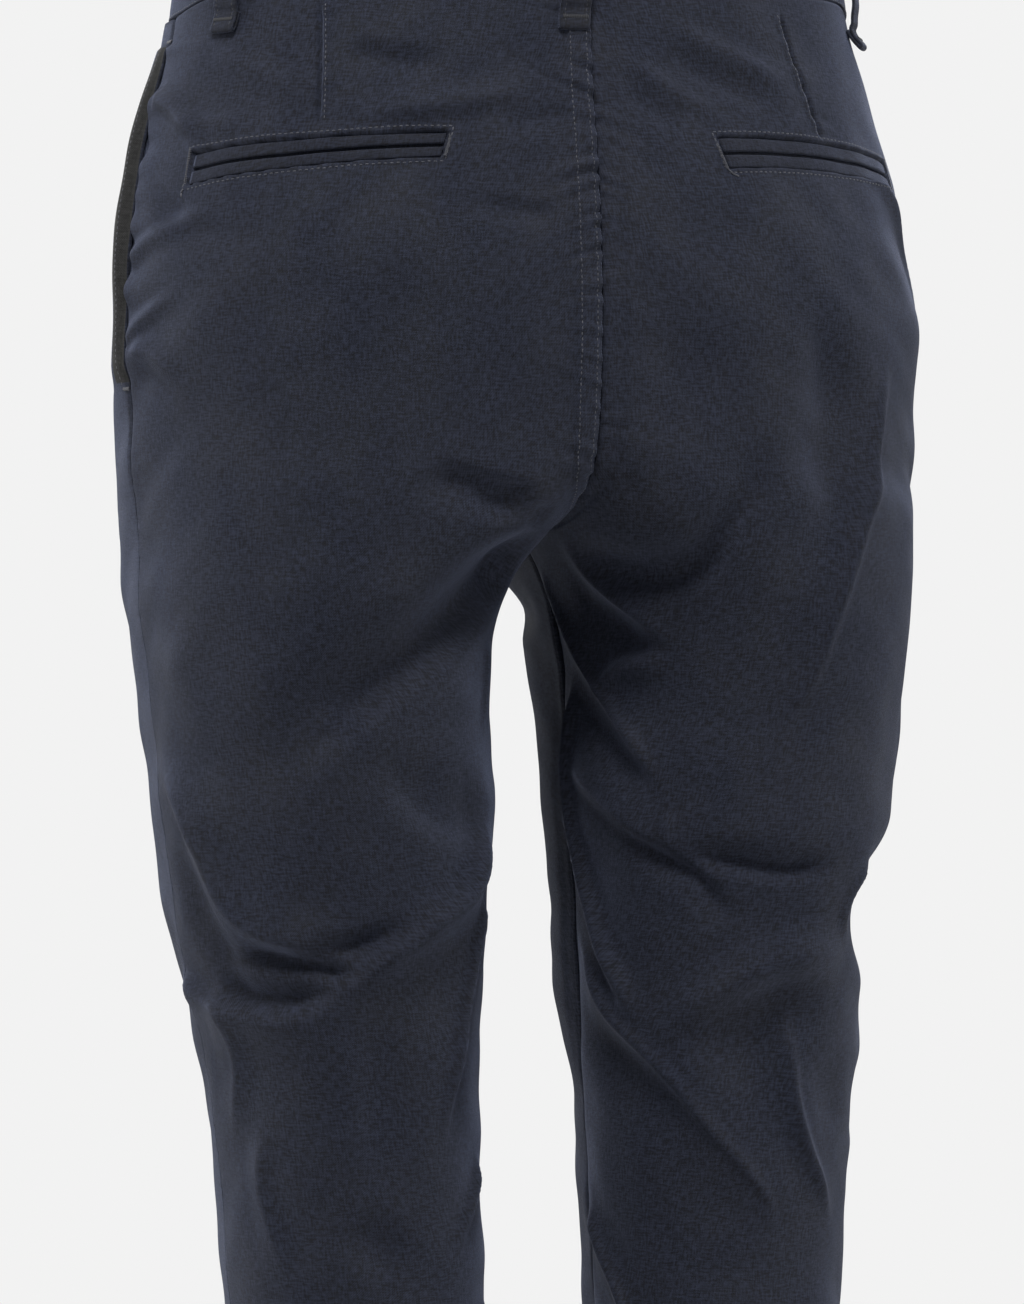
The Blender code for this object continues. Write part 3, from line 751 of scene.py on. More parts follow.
def backRelief(side, angle, level, fromCentre):
    seat = ease(level, -0.30, -0.25)
    rise = seamPucker(side, level, fromCentre, seatSeam["pucker"][side], seatSeam["puckerReach"]) * seat
    rise *= 0.75 + 0.5 * ease(level, -0.16, -0.10)
    rise += seatSeam["lap"][side] * seat * (1 - ease(fromCentre, *seatSeam["lapEdge"]))
    out = pocketPlace(side, angle, level)
    rise -= backPocket["recess"] * (1 - ease(out, -0.0005, 0.0003))
    rise += 0.0004 * (1 - ease(out, 0.0010, 0.0032)) * ease(out, -0.0002, 0.0004)
    rise -= 0.0003 * hump(out - backPocket["frame"], 0.0005)
    beyond = ease(-level, -dart["top"], 0.046) * (1 - ease(-level, 0.088, -dart["bottom"]))
    aside = dartDistance(side, angle, level)
    for sign, (tall, place, width) in ((-1, dart["groove"]), (1, dart["ridge"])):
        rise += sign * tall * beyond * hump(aside - place, width)
    return rise + seamPucker(side, level, abs(aside), dart["pucker"], 0.008) * beyond


def frontRelief(side, level, fromCentre):
    beside = ease(level, form["flyBottom"] - 0.006, form["flyBottom"])
    return fly["lap"][side] * beside * (1 - ease(fromCentre, *fly["edge"]))


def smoothMesh(name, verts, faces, uv=None):
    mesh = bpy.data.meshes.new(name)
    mesh.from_pydata([tuple(v) for v in verts], [], faces)
    if uv is not None:
        layer = mesh.uv_layers.new(name="cut")
        loops = np.zeros(len(mesh.loops), np.int32)
        mesh.loops.foreach_get("vertex_index", loops)
        layer.data.foreach_set("uv", np.asarray(uv)[loops].astype(np.float32).ravel())
    mesh.shade_smooth()
    thing = bpy.data.objects.new(name, mesh)
    bpy.context.scene.collection.objects.link(thing)
    return thing


def gridFaces(rows, columns, flip):
    corner = np.arange(rows * columns).reshape(rows, columns)
    quads = np.stack([corner[:-1, :-1], corner[1:, :-1], corner[1:, 1:], corner[:-1, 1:]], -1).reshape(-1, 4)
    return (quads[:, ::-1] if flip else quads).tolist()


def sheetObject(name, grid, uv, thickness, flip):
    rows, columns = grid.shape[:2]
    thing = smoothMesh(name, grid.reshape(-1, 3), gridFaces(rows, columns, flip), uv.reshape(-1, 2))
    wall = thing.modifiers.new("wall", "SOLIDIFY")
    wall.thickness = thickness
    wall.offset = -1.0
    wall.use_even_offset = False
    return thing


def makePanel(grid):
    # the outer skin is fine; the inner one takes every second row and column, and a rim joins them
    point, face = grid["point"], grid["face"]
    rows, columns = point.shape[:2]
    outer = np.arange(rows * columns).reshape(rows, columns)
    keptRows = sorted(set(range(0, rows, 2)) | {rows - 1})
    keptColumns = sorted(set(range(0, columns, 2)) | {columns - 1})
    used = np.zeros((rows, columns), bool)
    used[np.ix_(keptRows, keptColumns)] = True
    used[[0, -1]] = True
    used[:, [0, -1]] = True
    inner = np.full((rows, columns), -1)
    inner[used] = rows * columns + np.arange(used.sum())
    hem = ease(-grid["level"], panelMaking["hemTop"] - 0.001, panelMaking["hemTop"] + 0.001)
    wall = form["cloth"] * (1 + (panelMaking["hemWall"] - 1) * hem)
    verts = np.vstack([point.reshape(-1, 3), (point - face * wall[..., None])[used]])
    uv = np.stack([grid["fromSeam"], grid["level"]], -1)
    uv = np.vstack([uv.reshape(-1, 2), uv[used]])
    faces = gridFaces(rows, columns, grid["side"] == "left")
    turn = -1 if grid["side"] == "left" else 1
    for a, b in zip(keptRows[:-1], keptRows[1:]):
        for c, d in zip(keptColumns[:-1], keptColumns[1:]):
            ring = [(a, k) for k in range(c, d)] + [(k, d) for k in range(a, b)]
            ring += [(b, k) for k in range(d, c, -1)] + [(k, c) for k in range(b, a, -1)]
            faces.append([int(inner[spot]) for spot in ring if used[spot]][::turn])
    rim = [(0, k) for k in range(columns - 1)] + [(k, columns - 1) for k in range(rows - 1)]
    rim += [(rows - 1, k) for k in range(columns - 1, 0, -1)] + [(k, 0) for k in range(rows - 1, 0, -1)]
    for here, there in zip(rim, rim[1:] + rim[:1]):
        faces.append([int(v) for v in (outer[here], outer[there], inner[there], inner[here])][::turn])
    return smoothMesh(grid["part"] + "_" + grid["side"] + "_cloth", verts, faces, uv)


def paintMouthShade(panel, grid):
    # painted shade: a dark grey second material on the outer skin along the mouth's front edge, coloured as the
    # shaded pocketing inside the open mouth looks
    panel.data.materials.append(mouthShadeMat)
    level = grid["level"]
    inside = (grid["fromSeam"] < mouth["paintedShade"]) & (level < mouth["top"]) & (level > mouth["bottom"])
    cells = inside[:-1, :-1] & inside[1:, :-1] & inside[1:, 1:] & inside[:-1, 1:]
    for index in np.flatnonzero(cells.ravel()):
        panel.data.polygons[int(index)].material_index = 1


def rowPlace(row, wanted):
    # fractional column where a rising or falling row of measures has this value
    if row[0] > row[-1]:
        return len(row) - 1 - np.interp(wanted, row[::-1], np.arange(len(row)))
    return np.interp(wanted, row, np.arange(len(row)))


def onPanel(grid, measure, value, level):
    # points and outward normals on a finished panel, by level and one measure across it
    value, level = np.broadcast_arrays(np.asarray(value, float), np.asarray(level, float))
    rowLevels = grid["level"][:, 0]
    row = np.interp(-level, -rowLevels, np.arange(len(rowLevels)))
    upper = np.clip(row.astype(int), 0, len(rowLevels) - 2)
    share = (row - upper)[:, None]
    found = np.zeros((2, 2, len(value), 3))         # in the rows above and below, the point and the normal
    for number, (first, wanted) in enumerate(zip(upper, value)):
        for below in (0, 1):
            column = rowPlace(grid[measure][first + below], wanted)
            c = min(int(column), grid["angle"].shape[1] - 2)
            t = column - c
            for kind, key in enumerate(("point", "face")):
                row = grid[key][first + below]
                found[below, kind, number] = (1 - t) * row[c] + t * row[c + 1]
    point, normal = (1 - share) * found[0] + share * found[1]
    return point, unit(normal)


thread = {"pitch": 0.0026, "length": 0.0020, "radius": 0.00028, "sink": 0.00010, "wander": 0.0001, "sides": 6}


def ringFaces(count, around, flip=False):
    # a closed skin through rings of points, each ring a loop, with both ends drawn shut
    corner = np.arange(count * around).reshape(count, around)
    ahead = np.roll(corner, -1, axis=1)
    faces = np.stack([corner[:-1], ahead[:-1], ahead[1:], corner[1:]], -1).reshape(-1, 4).tolist()
    faces += [corner[0].tolist()[::-1], corner[-1].tolist()]
    return [face[::-1] for face in faces] if flip else faces


def capsule(sides):
    # one stitch along X, rounded and dipping into the cloth at both ends
    turn = np.arange(sides) * 2 * math.pi / sides
    rings = []
    for share in (-1.0, -0.86, -0.45, 0.0, 0.45, 0.86, 1.0):
        width = math.sqrt(1 - abs(share) ** 3) if abs(share) < 1 else 0.15
        height = width * np.sin(turn) - 0.9 * share ** 4
        rings.append(np.stack([np.full(sides, share), width * np.cos(turn), height], -1))
    return np.vstack(rings), ringFaces(len(rings), sides)


stitchShape = capsule(thread["sides"])


class Sewing:
    # gathers stitches, and makes them into one piece
    def __init__(self, name):
        self.name, self.verts, self.faces, self.count = name, [], [], 0

    def stitch(self, middle, along, normal, length, radius):
        verts, faces = stitchShape
        along = unit(along)
        normal = unit(normal - along * (normal @ along))
        across = np.cross(normal, along)
        self.verts.append(middle + verts[:, :1] * along * length / 2 + verts[:, 1:2] * across * radius
                          + verts[:, 2:] * normal * radius)
        self.faces += [tuple(self.count + k for k in face) for face in faces]
        self.count += len(verts)

    def line(self, points, normals, pitch=thread["pitch"], radius=thread["radius"]):
        steps = np.linalg.norm(np.diff(points, axis=0), axis=1)
        travelled = np.concatenate([[0], np.cumsum(steps)])
        half = thread["length"] * pitch / thread["pitch"] / 2
        for number in range(int(travelled[-1] / pitch)):
            at = (number + 0.5) * pitch
            wanted = ((at - half, points), (at + half, points), (at, points), (at, normals))
            a, b, m, n = (np.array([np.interp(place, travelled, source[:, k]) for k in range(3)])
                          for place, source in wanted)
            aside = unit(np.cross(n, b - a)) * thread["wander"] * math.sin(number * 2.4)
            self.stitch(m - n * thread["sink"] + aside, b - a, n, 2 * half, radius)

    def bar(self, middle, along, normal, width, tall, count):
        # a bar tack: close stitches side by side across its width
        along = unit(along)
        across = np.cross(normal, along)
        for number in range(count):
            offset = (number / (count - 1) - 0.5) * width
            lean = across * (0.0003 if number % 2 else -0.0003)
            self.stitch(middle + along * offset + normal * 0.0001, across * tall + lean, normal, tall,
                        thread["radius"] * 1.1)

    def make(self, material):
        thing = smoothMesh(self.name, np.vstack(self.verts), self.faces)
        thing.data.materials.append(material)
        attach(thing, "root")
        print(self.name, len(self.faces), "faces")
        return thing


clothLook = {
    "dark": (0.0006, 0.0011, 0.0040),
    "light": (0.0180, 0.0222, 0.0400),
    "tones": (0.88, 1.34),          # of the yarns' noise, for the dark and the light colour
    "yarn": (1100, 240),            # noise across and along the yarns, per metre
    "mottle": (28, 20),
    "mottleShare": 0.16,
    "roughness": (0.76, 0.90),
    "plainRoughness": 0.82,         # where the mottle is left out
    "sheen": 0.19,
    "sheenRoughness": 0.42,
    "sheenTint": (0.50, 0.58, 0.88, 1),
    "specular": 0.28,
    "twillPitch": 0.00075,
    "bump": 0.00018,
}


def clothMaterial(name, look, shade=1.0):
    material, tree, shader = principled(name, look["dark"], look["plainRoughness"])
    cut = addNode(tree, "UVMap", {}, uv_map="cut")

    def overCut(kind, scale, inputs, **settings):
        mapping = addNode(tree, "Mapping", {"Vector": cut, "Scale": (*scale, 1)})
        return addNode(tree, kind, {"Vector": mapping, "Scale": 1.0, **inputs}, **settings)

    warp, weft, mottle = [overCut("TexNoise", scale, {"Detail": 2, "Roughness": 0.6})
                          for scale in (look["yarn"], look["yarn"][::-1], look["mottle"])]
    threads = addNode(tree, "Math", {0: warp, 1: weft}, operation="ADD")
    both = addNode(tree, "Math", {0: mottle, 1: look["mottleShare"], 2: threads}, operation="MULTIPLY_ADD")
    ramp = addNode(tree, "MapRange", {"Value": both, "From Min": look["tones"][0],
                                      "From Max": look["tones"][1]})
    dark, light = ((*[c * shade for c in look[key]], 1) for key in ("dark", "light"))
    colour = addNode(tree, "Mix", {}, data_type="RGBA")
    setInputs(tree, colour, {"Factor": ramp, "A": dark, "B": light})
    # the twill's steep diagonal ribs
    ribs = overCut("TexWave", (1.3 / look["twillPitch"] / 2, 0.7 / look["twillPitch"] / 2), {"Distortion": 1.0},
                   wave_type="BANDS", bands_direction="DIAGONAL")
    weave = addNode(tree, "Math", {0: threads, 1: 1.2, 2: ribs.outputs["Fac"]}, operation="MULTIPLY_ADD")
    bump = addNode(tree, "Bump", {"Strength": 0.5, "Distance": look["bump"], "Height": weave})
    rough = addNode(tree, "MapRange", {"Value": mottle, "From Min": 0.3, "From Max": 0.7,
                                       "To Min": look["roughness"][0], "To Max": look["roughness"][1]})
    setInputs(tree, shader, {"Base Color": colour.outputs["Result"], "Normal": bump, "Roughness": rough,
                             "Sheen Weight": look["sheen"], "Sheen Roughness": look["sheenRoughness"],
                             "Sheen Tint": look["sheenTint"], "Specular IOR Level": look["specular"]})
    return material


def tubeObject(name, rings, uv, flip):
    rings = np.asarray(rings)
    faces = ringFaces(*rings.shape[:2], flip)
    return smoothMesh(name, rings.reshape(-1, 3), faces, uv.reshape(-1, 2))


waistband = {
    "thickness": 0.0030,
    "proud": 0.0008,
    "overlap": 0.022,
    "underlap": 0.028,
    "lift": 0.0036,
    "ramp": (0.031, 0.048),
    "columns": 210,
    "frontColumns": 60,
    "faceRows": 22,
    "corner": 0.0013,
    "stitchIn": 0.0022,
}


def bandProfile(w):
    # height below the top edge and depth behind the outer face, once round the band's section
    tall, thick, corner = form["bandHeight"] - form["seamGap"] / 2, w["thickness"], w["corner"]
    outer = np.linspace(corner, tall - corner, w["faceRows"])
    groove = sum(hump(outer - at, 0.0009) for at in (w["stitchIn"], tall - w["stitchIn"]))
    puff = 0.0002 * np.sin(math.pi * outer / tall)
    face = np.stack([outer, 0.00030 * groove - puff], -1)
    turn = np.linspace(0, math.pi / 2, 5)[1:-1]
    low = np.stack([tall - corner + corner * np.sin(turn), corner - corner * np.cos(turn)], -1)
    lowIn = np.stack([tall - corner + corner * np.cos(turn), thick - corner + corner * np.sin(turn)], -1)
    inner = np.stack([np.linspace(tall - corner, corner, 10), np.full(10, thick)], -1)
    highIn = np.stack([corner - corner * np.sin(turn), thick - corner + corner * np.cos(turn)], -1)
    high = np.stack([corner - corner * np.cos(turn), corner - corner * np.sin(turn)], -1)
    return np.vstack([face, low, lowIn, inner, highIn, high])


def bandFrame(side, w, level):
    # outer face of half the band at one level, from the centre back round past the centre front
    start = angleAt(level, form["seamGap"] / 2, -30.0, 40.0)
    rampStart = angleAt(level, w["ramp"][1], 180.0, 100.0)
    backRun = np.linspace(start, rampStart, w["columns"] - w["frontColumns"])
    end = -w["overlap"] if side == "left" else -w["underlap"]
    outward = np.linspace(w["ramp"][1], end, w["frontColumns"] + 1)[1:]
    frontRun = angleAt(level, np.abs(outward), 270.0, 100.0)
    angle = np.concatenate([backRun, frontRun])
    point, normal = baseCloth(angle, level * (1 - seamRise(angle) / form["bandHeight"]))
    past = np.concatenate([np.ones(len(backRun)), np.where(outward < 0, -1.0, 1.0)])
    point[:, 0] *= past
    normal[:, 0] *= past
    lift = np.zeros(len(point))
    if side == "left":
        lift[len(backRun):] = w["lift"] * (1 - ease(outward, *w["ramp"]))
    return point, normal, lift


def makeWaistband(side, w):
    profile = bandProfile(w)
    rings, run = [], None
    for tall, depth in profile:
        point, normal, lift = bandFrame(side, w, -tall)
        if run is None:
            run = arcRun(point)
        wave = 0.0003 * np.sin(run * 61 + tall * 40) + 0.0002 * np.sin(run * 147 + 2.0)
        wave = wave * ease(run, 0.0, 0.02) * ease(run[-1] - run, 0.05, 0.09)
        rings.append(point + normal * (w["proud"] + lift + wave - depth)[:, None])
    rings = mirrored(side, np.swapaxes(np.array(rings), 0, 1))
    # both ends pull in a little, as a turned corner does
    middle = rings.mean(axis=1, keepdims=True)
    for k, keep in ((0, 0.90), (1, 0.975), (-1, 0.90), (-2, 0.975)):
        rings[k] = middle[k] + (rings[k] - middle[k]) * keep
    uv = crossed(run, -np.cumsum(np.hypot(*np.diff(profile, axis=0, prepend=profile[:1]).T)))
    band = tubeObject("waistband_" + side + "_cloth", rings, uv, side == "right")
    sewing = Sewing("waistband_" + side + "_thread")
    for tall in (w["stitchIn"], form["bandHeight"] - w["stitchIn"]):
        index = int(np.argmin(abs(profile[:w["faceRows"], 0] - tall)))
        line = rings[3:-2, index]
        down = rings[3:-2, index + 1] - line
        sewing.line(line, unit(np.cross(np.gradient(line, axis=0), down) * handed[side]))
    return band, sewing


beltLoops = {
    "width": 0.0140,
    "thickness": 0.0019,
    "stand": 0.0068,
    "tail": 0.0125,
    "stitchShare": 0.68,         # of the half width, to each line of stitching
    "places": {
        "centre_back": ("left", 3.4, 0.0000, 0.3),
        "back_left": ("left", 72.0, 0.0006, -1.2),
        "back_right": ("right", 72.0, 0.0030, 0.8),
        "front_left": ("left", 143.0, 0.0, -0.6),
        "front_right": ("right", 143.0, 0.0002, 0.9),
    },      # side, angle, how far the tail stands off, sideways lean in millimetres
}


def loopPath(b, flare):
    # level and lift down the strip: tucked under at the top, standing off, and folded under at its tail
    tail = -form["bandHeight"] - b["tail"]
    band = waistband["proud"]
    path = [(-0.0105, band + 0.0010), (-0.0050, band + 0.0010), (-0.0018, band + 0.0010),
            (-0.0006, band + 0.0019), (-0.0016, band + 0.0029), (-0.0050, band + 0.0036), (-0.0090, 0.0072),
            (-0.0140, b["stand"]), (-0.0200, b["stand"] + 0.0004), (-0.0270, b["stand"]),
            (tail + 0.0200, b["stand"] - 0.0004), (tail + 0.0150, b["stand"] * 0.72),
            (tail + 0.0115, 0.0040), (tail + 0.0090, 0.0026), (tail + 0.0050, 0.0024 + 0.4 * flare),
            (tail + 0.0014, 0.0024 + flare), (tail + 0.0002, 0.0016 + flare), (tail + 0.0012, 0.0008 + flare),
            (tail + 0.0050, 0.0008 + 0.4 * flare), (tail + 0.0090, 0.0008)]
    return smoothRun(path, 5)


def makeBeltLoop(name, b):
    side, angle, flare, lean = b["places"][name]
    path = loopPath(b, flare)
    half, thick = b["width"] / 2, b["thickness"] / 2
    high = np.minimum(path[:, 0], 0.0)
    base, normal = baseCloth(angle, high)
    across = baseCloth(angle + 1.0, high)[0] - base
    across[:, 2] = 0
    across = unit(across)
    middle = base + normal * path[:, 1:]
    middle[:, 2] += path[:, 0] - base[:, 2]
    middle += across * (lean * 0.001 * (0.5 + path[:, :1] / 0.055))
    outward = np.cross(unit(np.gradient(middle, axis=0)), across)
    if outward[len(path) // 2] @ normal[len(path) // 2] < 0:
        outward = -outward
    share = np.array([-1, -0.96, -0.86, -0.74, -0.64, -0.5, -0.2, 0.2, 0.5, 0.64, 0.74, 0.86, 0.96, 1])
    puff = 1 - np.abs(share) ** 10 * 0.65
    dent = 0.22 * hump(np.abs(share) - b["stitchShare"], 0.10)
    section = np.concatenate([np.stack([share, puff - dent], -1), np.stack([share[::-1], -puff[::-1]], -1)])
    rings = (middle[:, None] + section[None, :, :1] * half * across[:, None]
             + section[None, :, 1:] * thick * outward[:, None])
    run = arcRun(middle)
    loop = tubeObject("belt_loop_" + name + "_cloth", mirrored(side, rings),
                      crossed(-run, section[:, 0] * half)[..., ::-1], side == "right")
    sewing = Sewing("belt_loop_" + name + "_thread")
    middle, across, outward = (mirrored(side, v) for v in (middle, across, outward))
    shown = (run > 0.012) & (run < run[-1] - 0.0105)
    for edge in (-b["stitchShare"], b["stitchShare"]):
        line = middle + across * edge * half + outward * thick * 0.80
        sewing.line(line[shown], outward[shown], pitch=0.0022)
    for k in (int(np.argmax(run > 0.0145)), int(np.argmax(run > run[-1] - 0.0150))):
        sewing.bar(middle[k] + outward[k] * thick, across[k], outward[k], b["width"] * 0.78, 0.0020, 15)
    return loop, sewing


def panelLine(sewing, grid, measure, value, level, **settings):
    point, normal = onPanel(grid, measure, value, level)
    sewing.line(point, normal, **settings)


def panelBar(sewing, grid, measure, value, level, *size):
    # a bar tack that runs from the first of two places towards the second
    point, normal = onPanel(grid, measure, value, level)
    sewing.bar(point[0], point[1] - point[0], normal[0], *size)


def hemLine(sewing, grid):
    width = grid["fromSeam"][-1].max()
    level = np.full(120, form["hem"] + form["hemTurn"])
    panelLine(sewing, grid, "fromSeam", np.linspace(0.002, width - 0.002, 120), level)


def makeJets(side, p):
    first, last = p["angles"][side]
    angle = np.linspace(first + 0.25, last - 0.25, 90)
    top, whole = pocketEdges(side, angle)
    tall = (whole - p["jetGap"] - p["topGap"]) / 2
    relief = foldRelief(side, angle, top - whole / 2)
    made = []
    for place, drop in (("upper", p["topGap"]), ("lower", p["topGap"] + tall + p["jetGap"])):
        turn = np.linspace(0, 2 * math.pi, 28, endpoint=False)
        height = np.sign(np.cos(turn)) * np.abs(np.cos(turn)) ** 0.45
        depth = np.sign(np.sin(turn)) * np.abs(np.sin(turn)) ** 0.8
        rings = []
        for h, d in zip(height, depth):
            level = top - drop - tall / 2 + h * (tall / 2 - 0.0001)
            base, normal = baseCloth(angle, level)
            belly = 0.00025 * np.sin(angle * 0.31) + 0.0001 * np.sin(angle * 0.77 + 1)
            lift = relief + p["jetLift"] + d * 0.0009 + belly * (d > 0)
            rings.append(base + normal * lift[:, None])
        rings = mirrored(side, np.swapaxes(np.array(rings), 0, 1))
        name = "back_pocket_%s_%s_jet" % (side, place)
        uv = crossed(arcRun(rings[:, 0]), height * 0.003)
        made.append((tubeObject(name + "_cloth", rings, uv, side == "left"), name))
    return made


def pocketFrame(side, p, out):
    # corners of the stitched frame round a back pocket, as angle and level
    first, last = p["angles"][side]
    reach = math.degrees(out / form["hipRadius"])
    angle = np.linspace(first - reach, last + reach, 60)
    top, tall = pocketEdges(side, angle)
    upper, lower = top + out, top - tall - out
    ends = [(np.full(12, angle[k]), np.linspace(upper[k], lower[k], 12)) for k in (0, -1)]
    return [(angle, upper), (angle, lower)] + ends


def sewBackPanel(side, grid):
    sewing = Sewing("back_" + side + "_thread")
    for angle, level in pocketFrame(side, backPocket, backPocket["frame"]):
        panelLine(sewing, grid, "angle", angle, level, pitch=0.0027, radius=0.00034)
    first, last = backPocket["angles"][side]
    for angle in (first - 0.6, last + 0.6):
        top, tall = pocketEdges(side, angle)
        panelBar(sewing, grid, "angle", angle, [top - 0.45 * tall, top - 0.55 * tall], tall * 1.15, 0.0015, 22)
    point, normal = onPanel(grid, "angle", *np.transpose(backPocket["threadEnd"][side]))
    for a, b, face in zip(point[:-1], point[1:], normal):
        sewing.stitch((a + b) / 2 + face * 0.0003, b - a, face, 1.3 * float(np.linalg.norm(b - a)), 0.00042)
    level = np.linspace(dart["top"] - 0.001, dart["bottom"] + 0.0035, 40)
    panelLine(sewing, grid, "angle", dartLine(side, level) - 1.0, level, pitch=0.0025)
    if side == "left":
        level = np.linspace(-form["bandHeight"] - 0.001, seatSeam["foot"], 160)
        for fromCentre in seatSeam["stitches"]:
            panelLine(sewing, grid, "fromCentre", fromCentre, level, pitch=0.0025)
    hemLine(sewing, grid)
    return sewing


def sewFrontPanel(side, grid):
    sewing = Sewing("front_" + side + "_thread")
    level = np.linspace(mouth["top"] - 0.002, mouth["bottom"] - 0.001, 90)
    panelLine(sewing, grid, "fromSeam", 0.0060, level, pitch=0.0025)
    for level in (mouth["top"] + 0.001, mouth["bottom"] - 0.002):
        panelBar(sewing, grid, "fromSeam", [0.0026, 0.0040], level, 0.0055, 0.0018, 12)
    if side == "left":
        # the fly's stitching, curved in at its foot
        turn = np.linspace(0, math.pi / 2, 30)[1:]
        bend = form["flyBottom"] + 0.022
        straight = np.linspace(-form["bandHeight"] - 0.001, bend, 70)
        level = np.concatenate([straight, bend - 0.030 * np.sin(turn)])
        across = np.concatenate([np.full(70, 0.036), 0.004 + 0.032 * np.cos(turn)])
        panelLine(sewing, grid, "fromCentre", across, level, pitch=0.0025)
        panelBar(sewing, grid, "fromCentre", [0.0050, 0.0064], form["flyBottom"] - 0.004, 0.0065, 0.0018, 14)
    hemLine(sewing, grid)
    return sewing


facing = {"top": -0.046, "bottom": -0.213, "reach": 13.0, "lift": -0.0007}


def makeFacing(side, f):
    level = np.repeat(np.linspace(f["top"], f["bottom"], 90)[:, None], 26, 1)
    angle = formAt("seam", level) - 1.0 + np.linspace(0, f["reach"], 26)[None]
    base, normal = baseCloth(angle, level)
    wave = 0.0004 * np.sin(level * 130 + angle * 0.2)
    point = base + normal * (f["lift"] + wave)[..., None]
    uv = np.stack([np.radians(angle) * 0.14, level], -1)
    return sheetObject("side_pocket_facing_" + side + "_cloth", mirrored(side, point), uv, form["cloth"],
                       side == "left")


turning = {"width": 0.011, "lift": -0.0024, "wall": 0.0005, "rows": 260, "columns": 7}


def makeTurning(name, side, middle, top, bottom, t):
    # a seam's turnings, pressed open behind it
    level = np.repeat(np.linspace(top, bottom, t["rows"])[:, None], t["columns"], 1)
    across = np.linspace(-0.5, 0.5, t["columns"])[None] * t["width"] + 0 * level
    angle = np.array([middle(v) for v in level[:, 0]])[:, None] + np.degrees(across / girthRadius(level))
    base, normal = baseCloth(angle, level)
    relief = foldRelief(side, angle, level) * ease(base[..., 0], 0.0, panelMaking["centreEase"])
    point = mirrored(side, base + normal * (relief + t["lift"])[..., None])
    return sheetObject(name, point, np.stack([across, level], -1), t["wall"], side == "left")


def seamTurnings(side):
    hem, fork = form["hem"] + 0.0006, form["fork"]
    plans = [("side_turning_" + side, lambda level: float(formAt("seam", level)), -0.200, hem),
             ("inseam_turning_" + side, lambda level: -90.0, fork, hem)]
    if side == "left":
        plans += [("seat_turning", backEdge, -form["bandHeight"] - 0.004, fork),
                  ("fork_turning", lambda level: frontEdge(side, min(level, form["flyBottom"] - 0.013)),
                   form["flyBottom"] + 0.004, fork)]
    return [makeTurning(name, side, middle, top, bottom, turning) for name, middle, top, bottom in plans]


flyShield = {"reach": (-0.012, 0.034), "lift": -0.0026}


def makeFlyShield(f):
    level = np.linspace(-form["bandHeight"] - 0.0004, form["flyBottom"], 80)
    outward = np.linspace(f["reach"][1], f["reach"][0], 34)
    rows = []
    for z in level:
        angle = angleAt(z, np.abs(outward), 270.0, 100.0)
        point, normal = baseCloth(angle, z)
        point = point + normal * (f["lift"] + 0.0003 * math.sin(z * 90))
        point[:, 0] *= np.where(outward < 0, -1, 1)
        rows.append(point)
    uv = crossed(level, outward)[..., ::-1]
    return sheetObject("fly_shield_cloth", np.array(rows), uv, form["cloth"], True)


button = {
    "rings": [(0.0, 0.0022), (0.10, 0.0022), (0.20, 0.0022), (0.30, 0.0022), (0.40, 0.0022), (0.50, 0.00225),
              (0.60, 0.0024), (0.68, 0.0027), (0.76, 0.00295), (0.84, 0.0030), (0.92, 0.0028), (0.97, 0.0023),
              (1.0, 0.0016), (0.97, 0.0006), (0.88, 0.0001), (0.5, 0.0), (0.0, 0.0)],   # radius share, height
    "around": 96,
    "holes": 0.0016,      # from the middle to each hole, both ways
    "holeRadius": 0.00085,
    "holeDepth": 0.0013,
}


def makeButton(b):
    low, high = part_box("waist_button")
    radius = (high[0] - low[0]) / 2
    middle = np.array([(low[0] + high[0]) / 2, high[1], (low[2] + high[2]) / 2])
    outline = smoothRun(b["rings"], 5)
    turn = np.linspace(0, 2 * math.pi, b["around"], endpoint=False)
    rings = []
    for share, height in outline:
        x, z = share * radius * np.cos(turn), share * radius * np.sin(turn)
        tall = np.full_like(x, height)
        if height > 0.0015 and share < 0.6:
            for sx, sz in ((-1, -1), (-1, 1), (1, -1), (1, 1)):
                away = np.hypot(x - sx * b["holes"], z - sz * b["holes"])
                tall -= b["holeDepth"] * (1 - ease(away, b["holeRadius"] * 0.75, b["holeRadius"] * 1.1))
        rings.append(np.stack([x, -tall, z], -1) + middle)
    thing = tubeObject("waist_button_moulded", rings, np.zeros((len(outline), b["around"], 2)), False)
    sewing = Sewing("waist_button_thread")
    for across in (-b["holes"], b["holes"]):
        for shift in (-0.0003, 0.0, 0.0003):
            spot = middle + np.array([across + shift, -0.0024, 0])
            sewing.stitch(spot, np.array([0, 0, 1.0]), np.array([0, -1.0, 0]), 0.0036, 0.00024)
    return thing, sewing


def place(thing, material, slot, *nodes):
    thing.data.materials.append(material)
    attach(thing, "root")
    if nodes:
        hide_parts(*nodes)
    return thing


def speckled(name, middle, roughness, dark, light, scale, detail=2):
    # a hard material in two tones that run into each other
    material, tree, shader = principled(name, middle, roughness)
    where = addNode(tree, "TexCoord", {}).outputs["Object"]
    noise = addNode(tree, "TexNoise", {"Vector": where, "Scale": scale, "Detail": detail})
    tone = addNode(tree, "Mix", {}, data_type="RGBA")
    setInputs(tree, tone, {"Factor": noise, "A": (*dark, 1), "B": (*light, 1)})
    setInputs(tree, shader, {"Base Color": tone.outputs["Result"]})
    return material, tree, shader, noise


def buttonMaterial():
    material, tree, shader, noise = speckled("navyButton", (0.012, 0.013, 0.018), 0.32,
                                             (0.009, 0.010, 0.014), (0.024, 0.025, 0.033), 180, 3)
    gloss = addNode(tree, "MapRange", {"Value": noise, "To Min": 0.22, "To Max": 0.45})
    setInputs(tree, shader, {"Roughness": gloss})
    return material


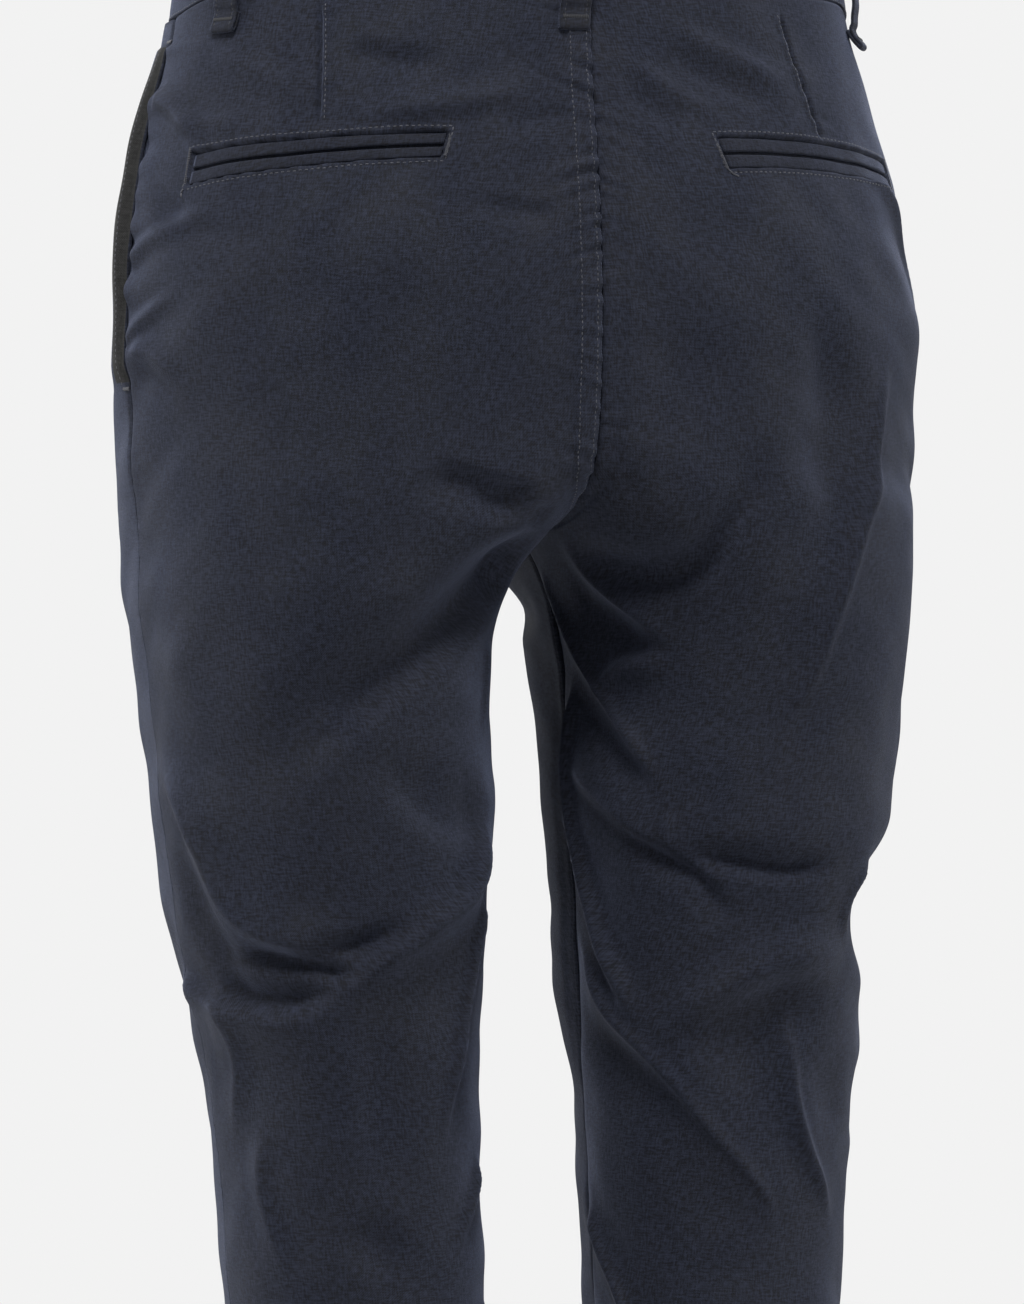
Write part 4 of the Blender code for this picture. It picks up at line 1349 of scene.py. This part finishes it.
def threadMaterial(name, shade):
    dark, light = (0.022 * shade, 0.024 * shade, 0.036 * shade), (0.058 * shade, 0.062 * shade, 0.084 * shade)
    material, tree, shader, _ = speckled(name, (0.034, 0.037, 0.052), 0.55, dark, light, 1400)
    setInputs(tree, shader, {"Sheen Weight": 0.3 * shade})
    return material


makeCamera(viewpoint)
makeWorld(studio)
makeLamps(studio)
makeFloor(studio)
print("studio made")

clothMat = clothMaterial("navyTwill", clothLook)
pocketMat = clothMaterial("pocketTwill", clothLook, 0.8)
# painted shade: the belt loops take a darker copy of the twill, standing in for the shade they sit in
loopShadedMat = clothMaterial("loopTwillShaded", clothLook, 0.7)
# painted shade: the dark grey, nearly sheenless colour of the open side pocket's shaded inside, laid on the
# front panel's edge
mouthShadeMat = clothMaterial("mouthShadeTwill", dict(clothLook, dark=(0.004,) * 3, light=(0.020,) * 3, sheen=0.03,
                                                sheenTint=grey(1)))
threadMat = threadMaterial("navyThread", 0.75)
# painted shade: the belt loops' stitching and bar tacks take a much darker copy of the thread
loopThreadShadedMat = threadMaterial("loopThreadShaded", 0.2)
buttonMat = buttonMaterial()

grids = {}
for side in ("left", "right"):
    for part, sew in (("back", sewBackPanel), ("front", sewFrontPanel)):
        grid = grids[part, side] = makeGrid(side, part)
        panel = place(makePanel(grid), clothMat, "cloth", part + "_" + side)
        if part == "front":
            paintMouthShade(panel, grid)
        sewnOn = [sew(side, grid).make(threadMat)]
        if part == "back":
            sewnOn += [place(jet, pocketMat, "pocket_cloth", node) for jet, node in makeJets(side, backPocket)]
            sewnOn += [place(strip, clothMat, "cloth") for strip in seamTurnings(side)]
        print(panel.name, len(panel.data.polygons), "faces")
print("panels made")

for side in ("left", "right"):
    band, sewing = makeWaistband(side, waistband)
    place(band, clothMat, "cloth", "waistband_" + side)
    sewing.make(threadMat)
    strip = place(makeFacing(side, facing), pocketMat, "pocket_cloth", "side_pocket_facing_" + side)
for name in beltLoops["places"]:
    loop, sewing = makeBeltLoop(name, beltLoops)
    place(loop, loopShadedMat, "cloth", "belt_loop_" + name)
    sewing.make(loopThreadShadedMat)
shield = place(makeFlyShield(flyShield), clothMat, "cloth", "fly_shield")
knob, sewing = makeButton(button)
place(knob, buttonMat, "button", "waist_button")
sewing.make(threadMat)
print("trousers made")
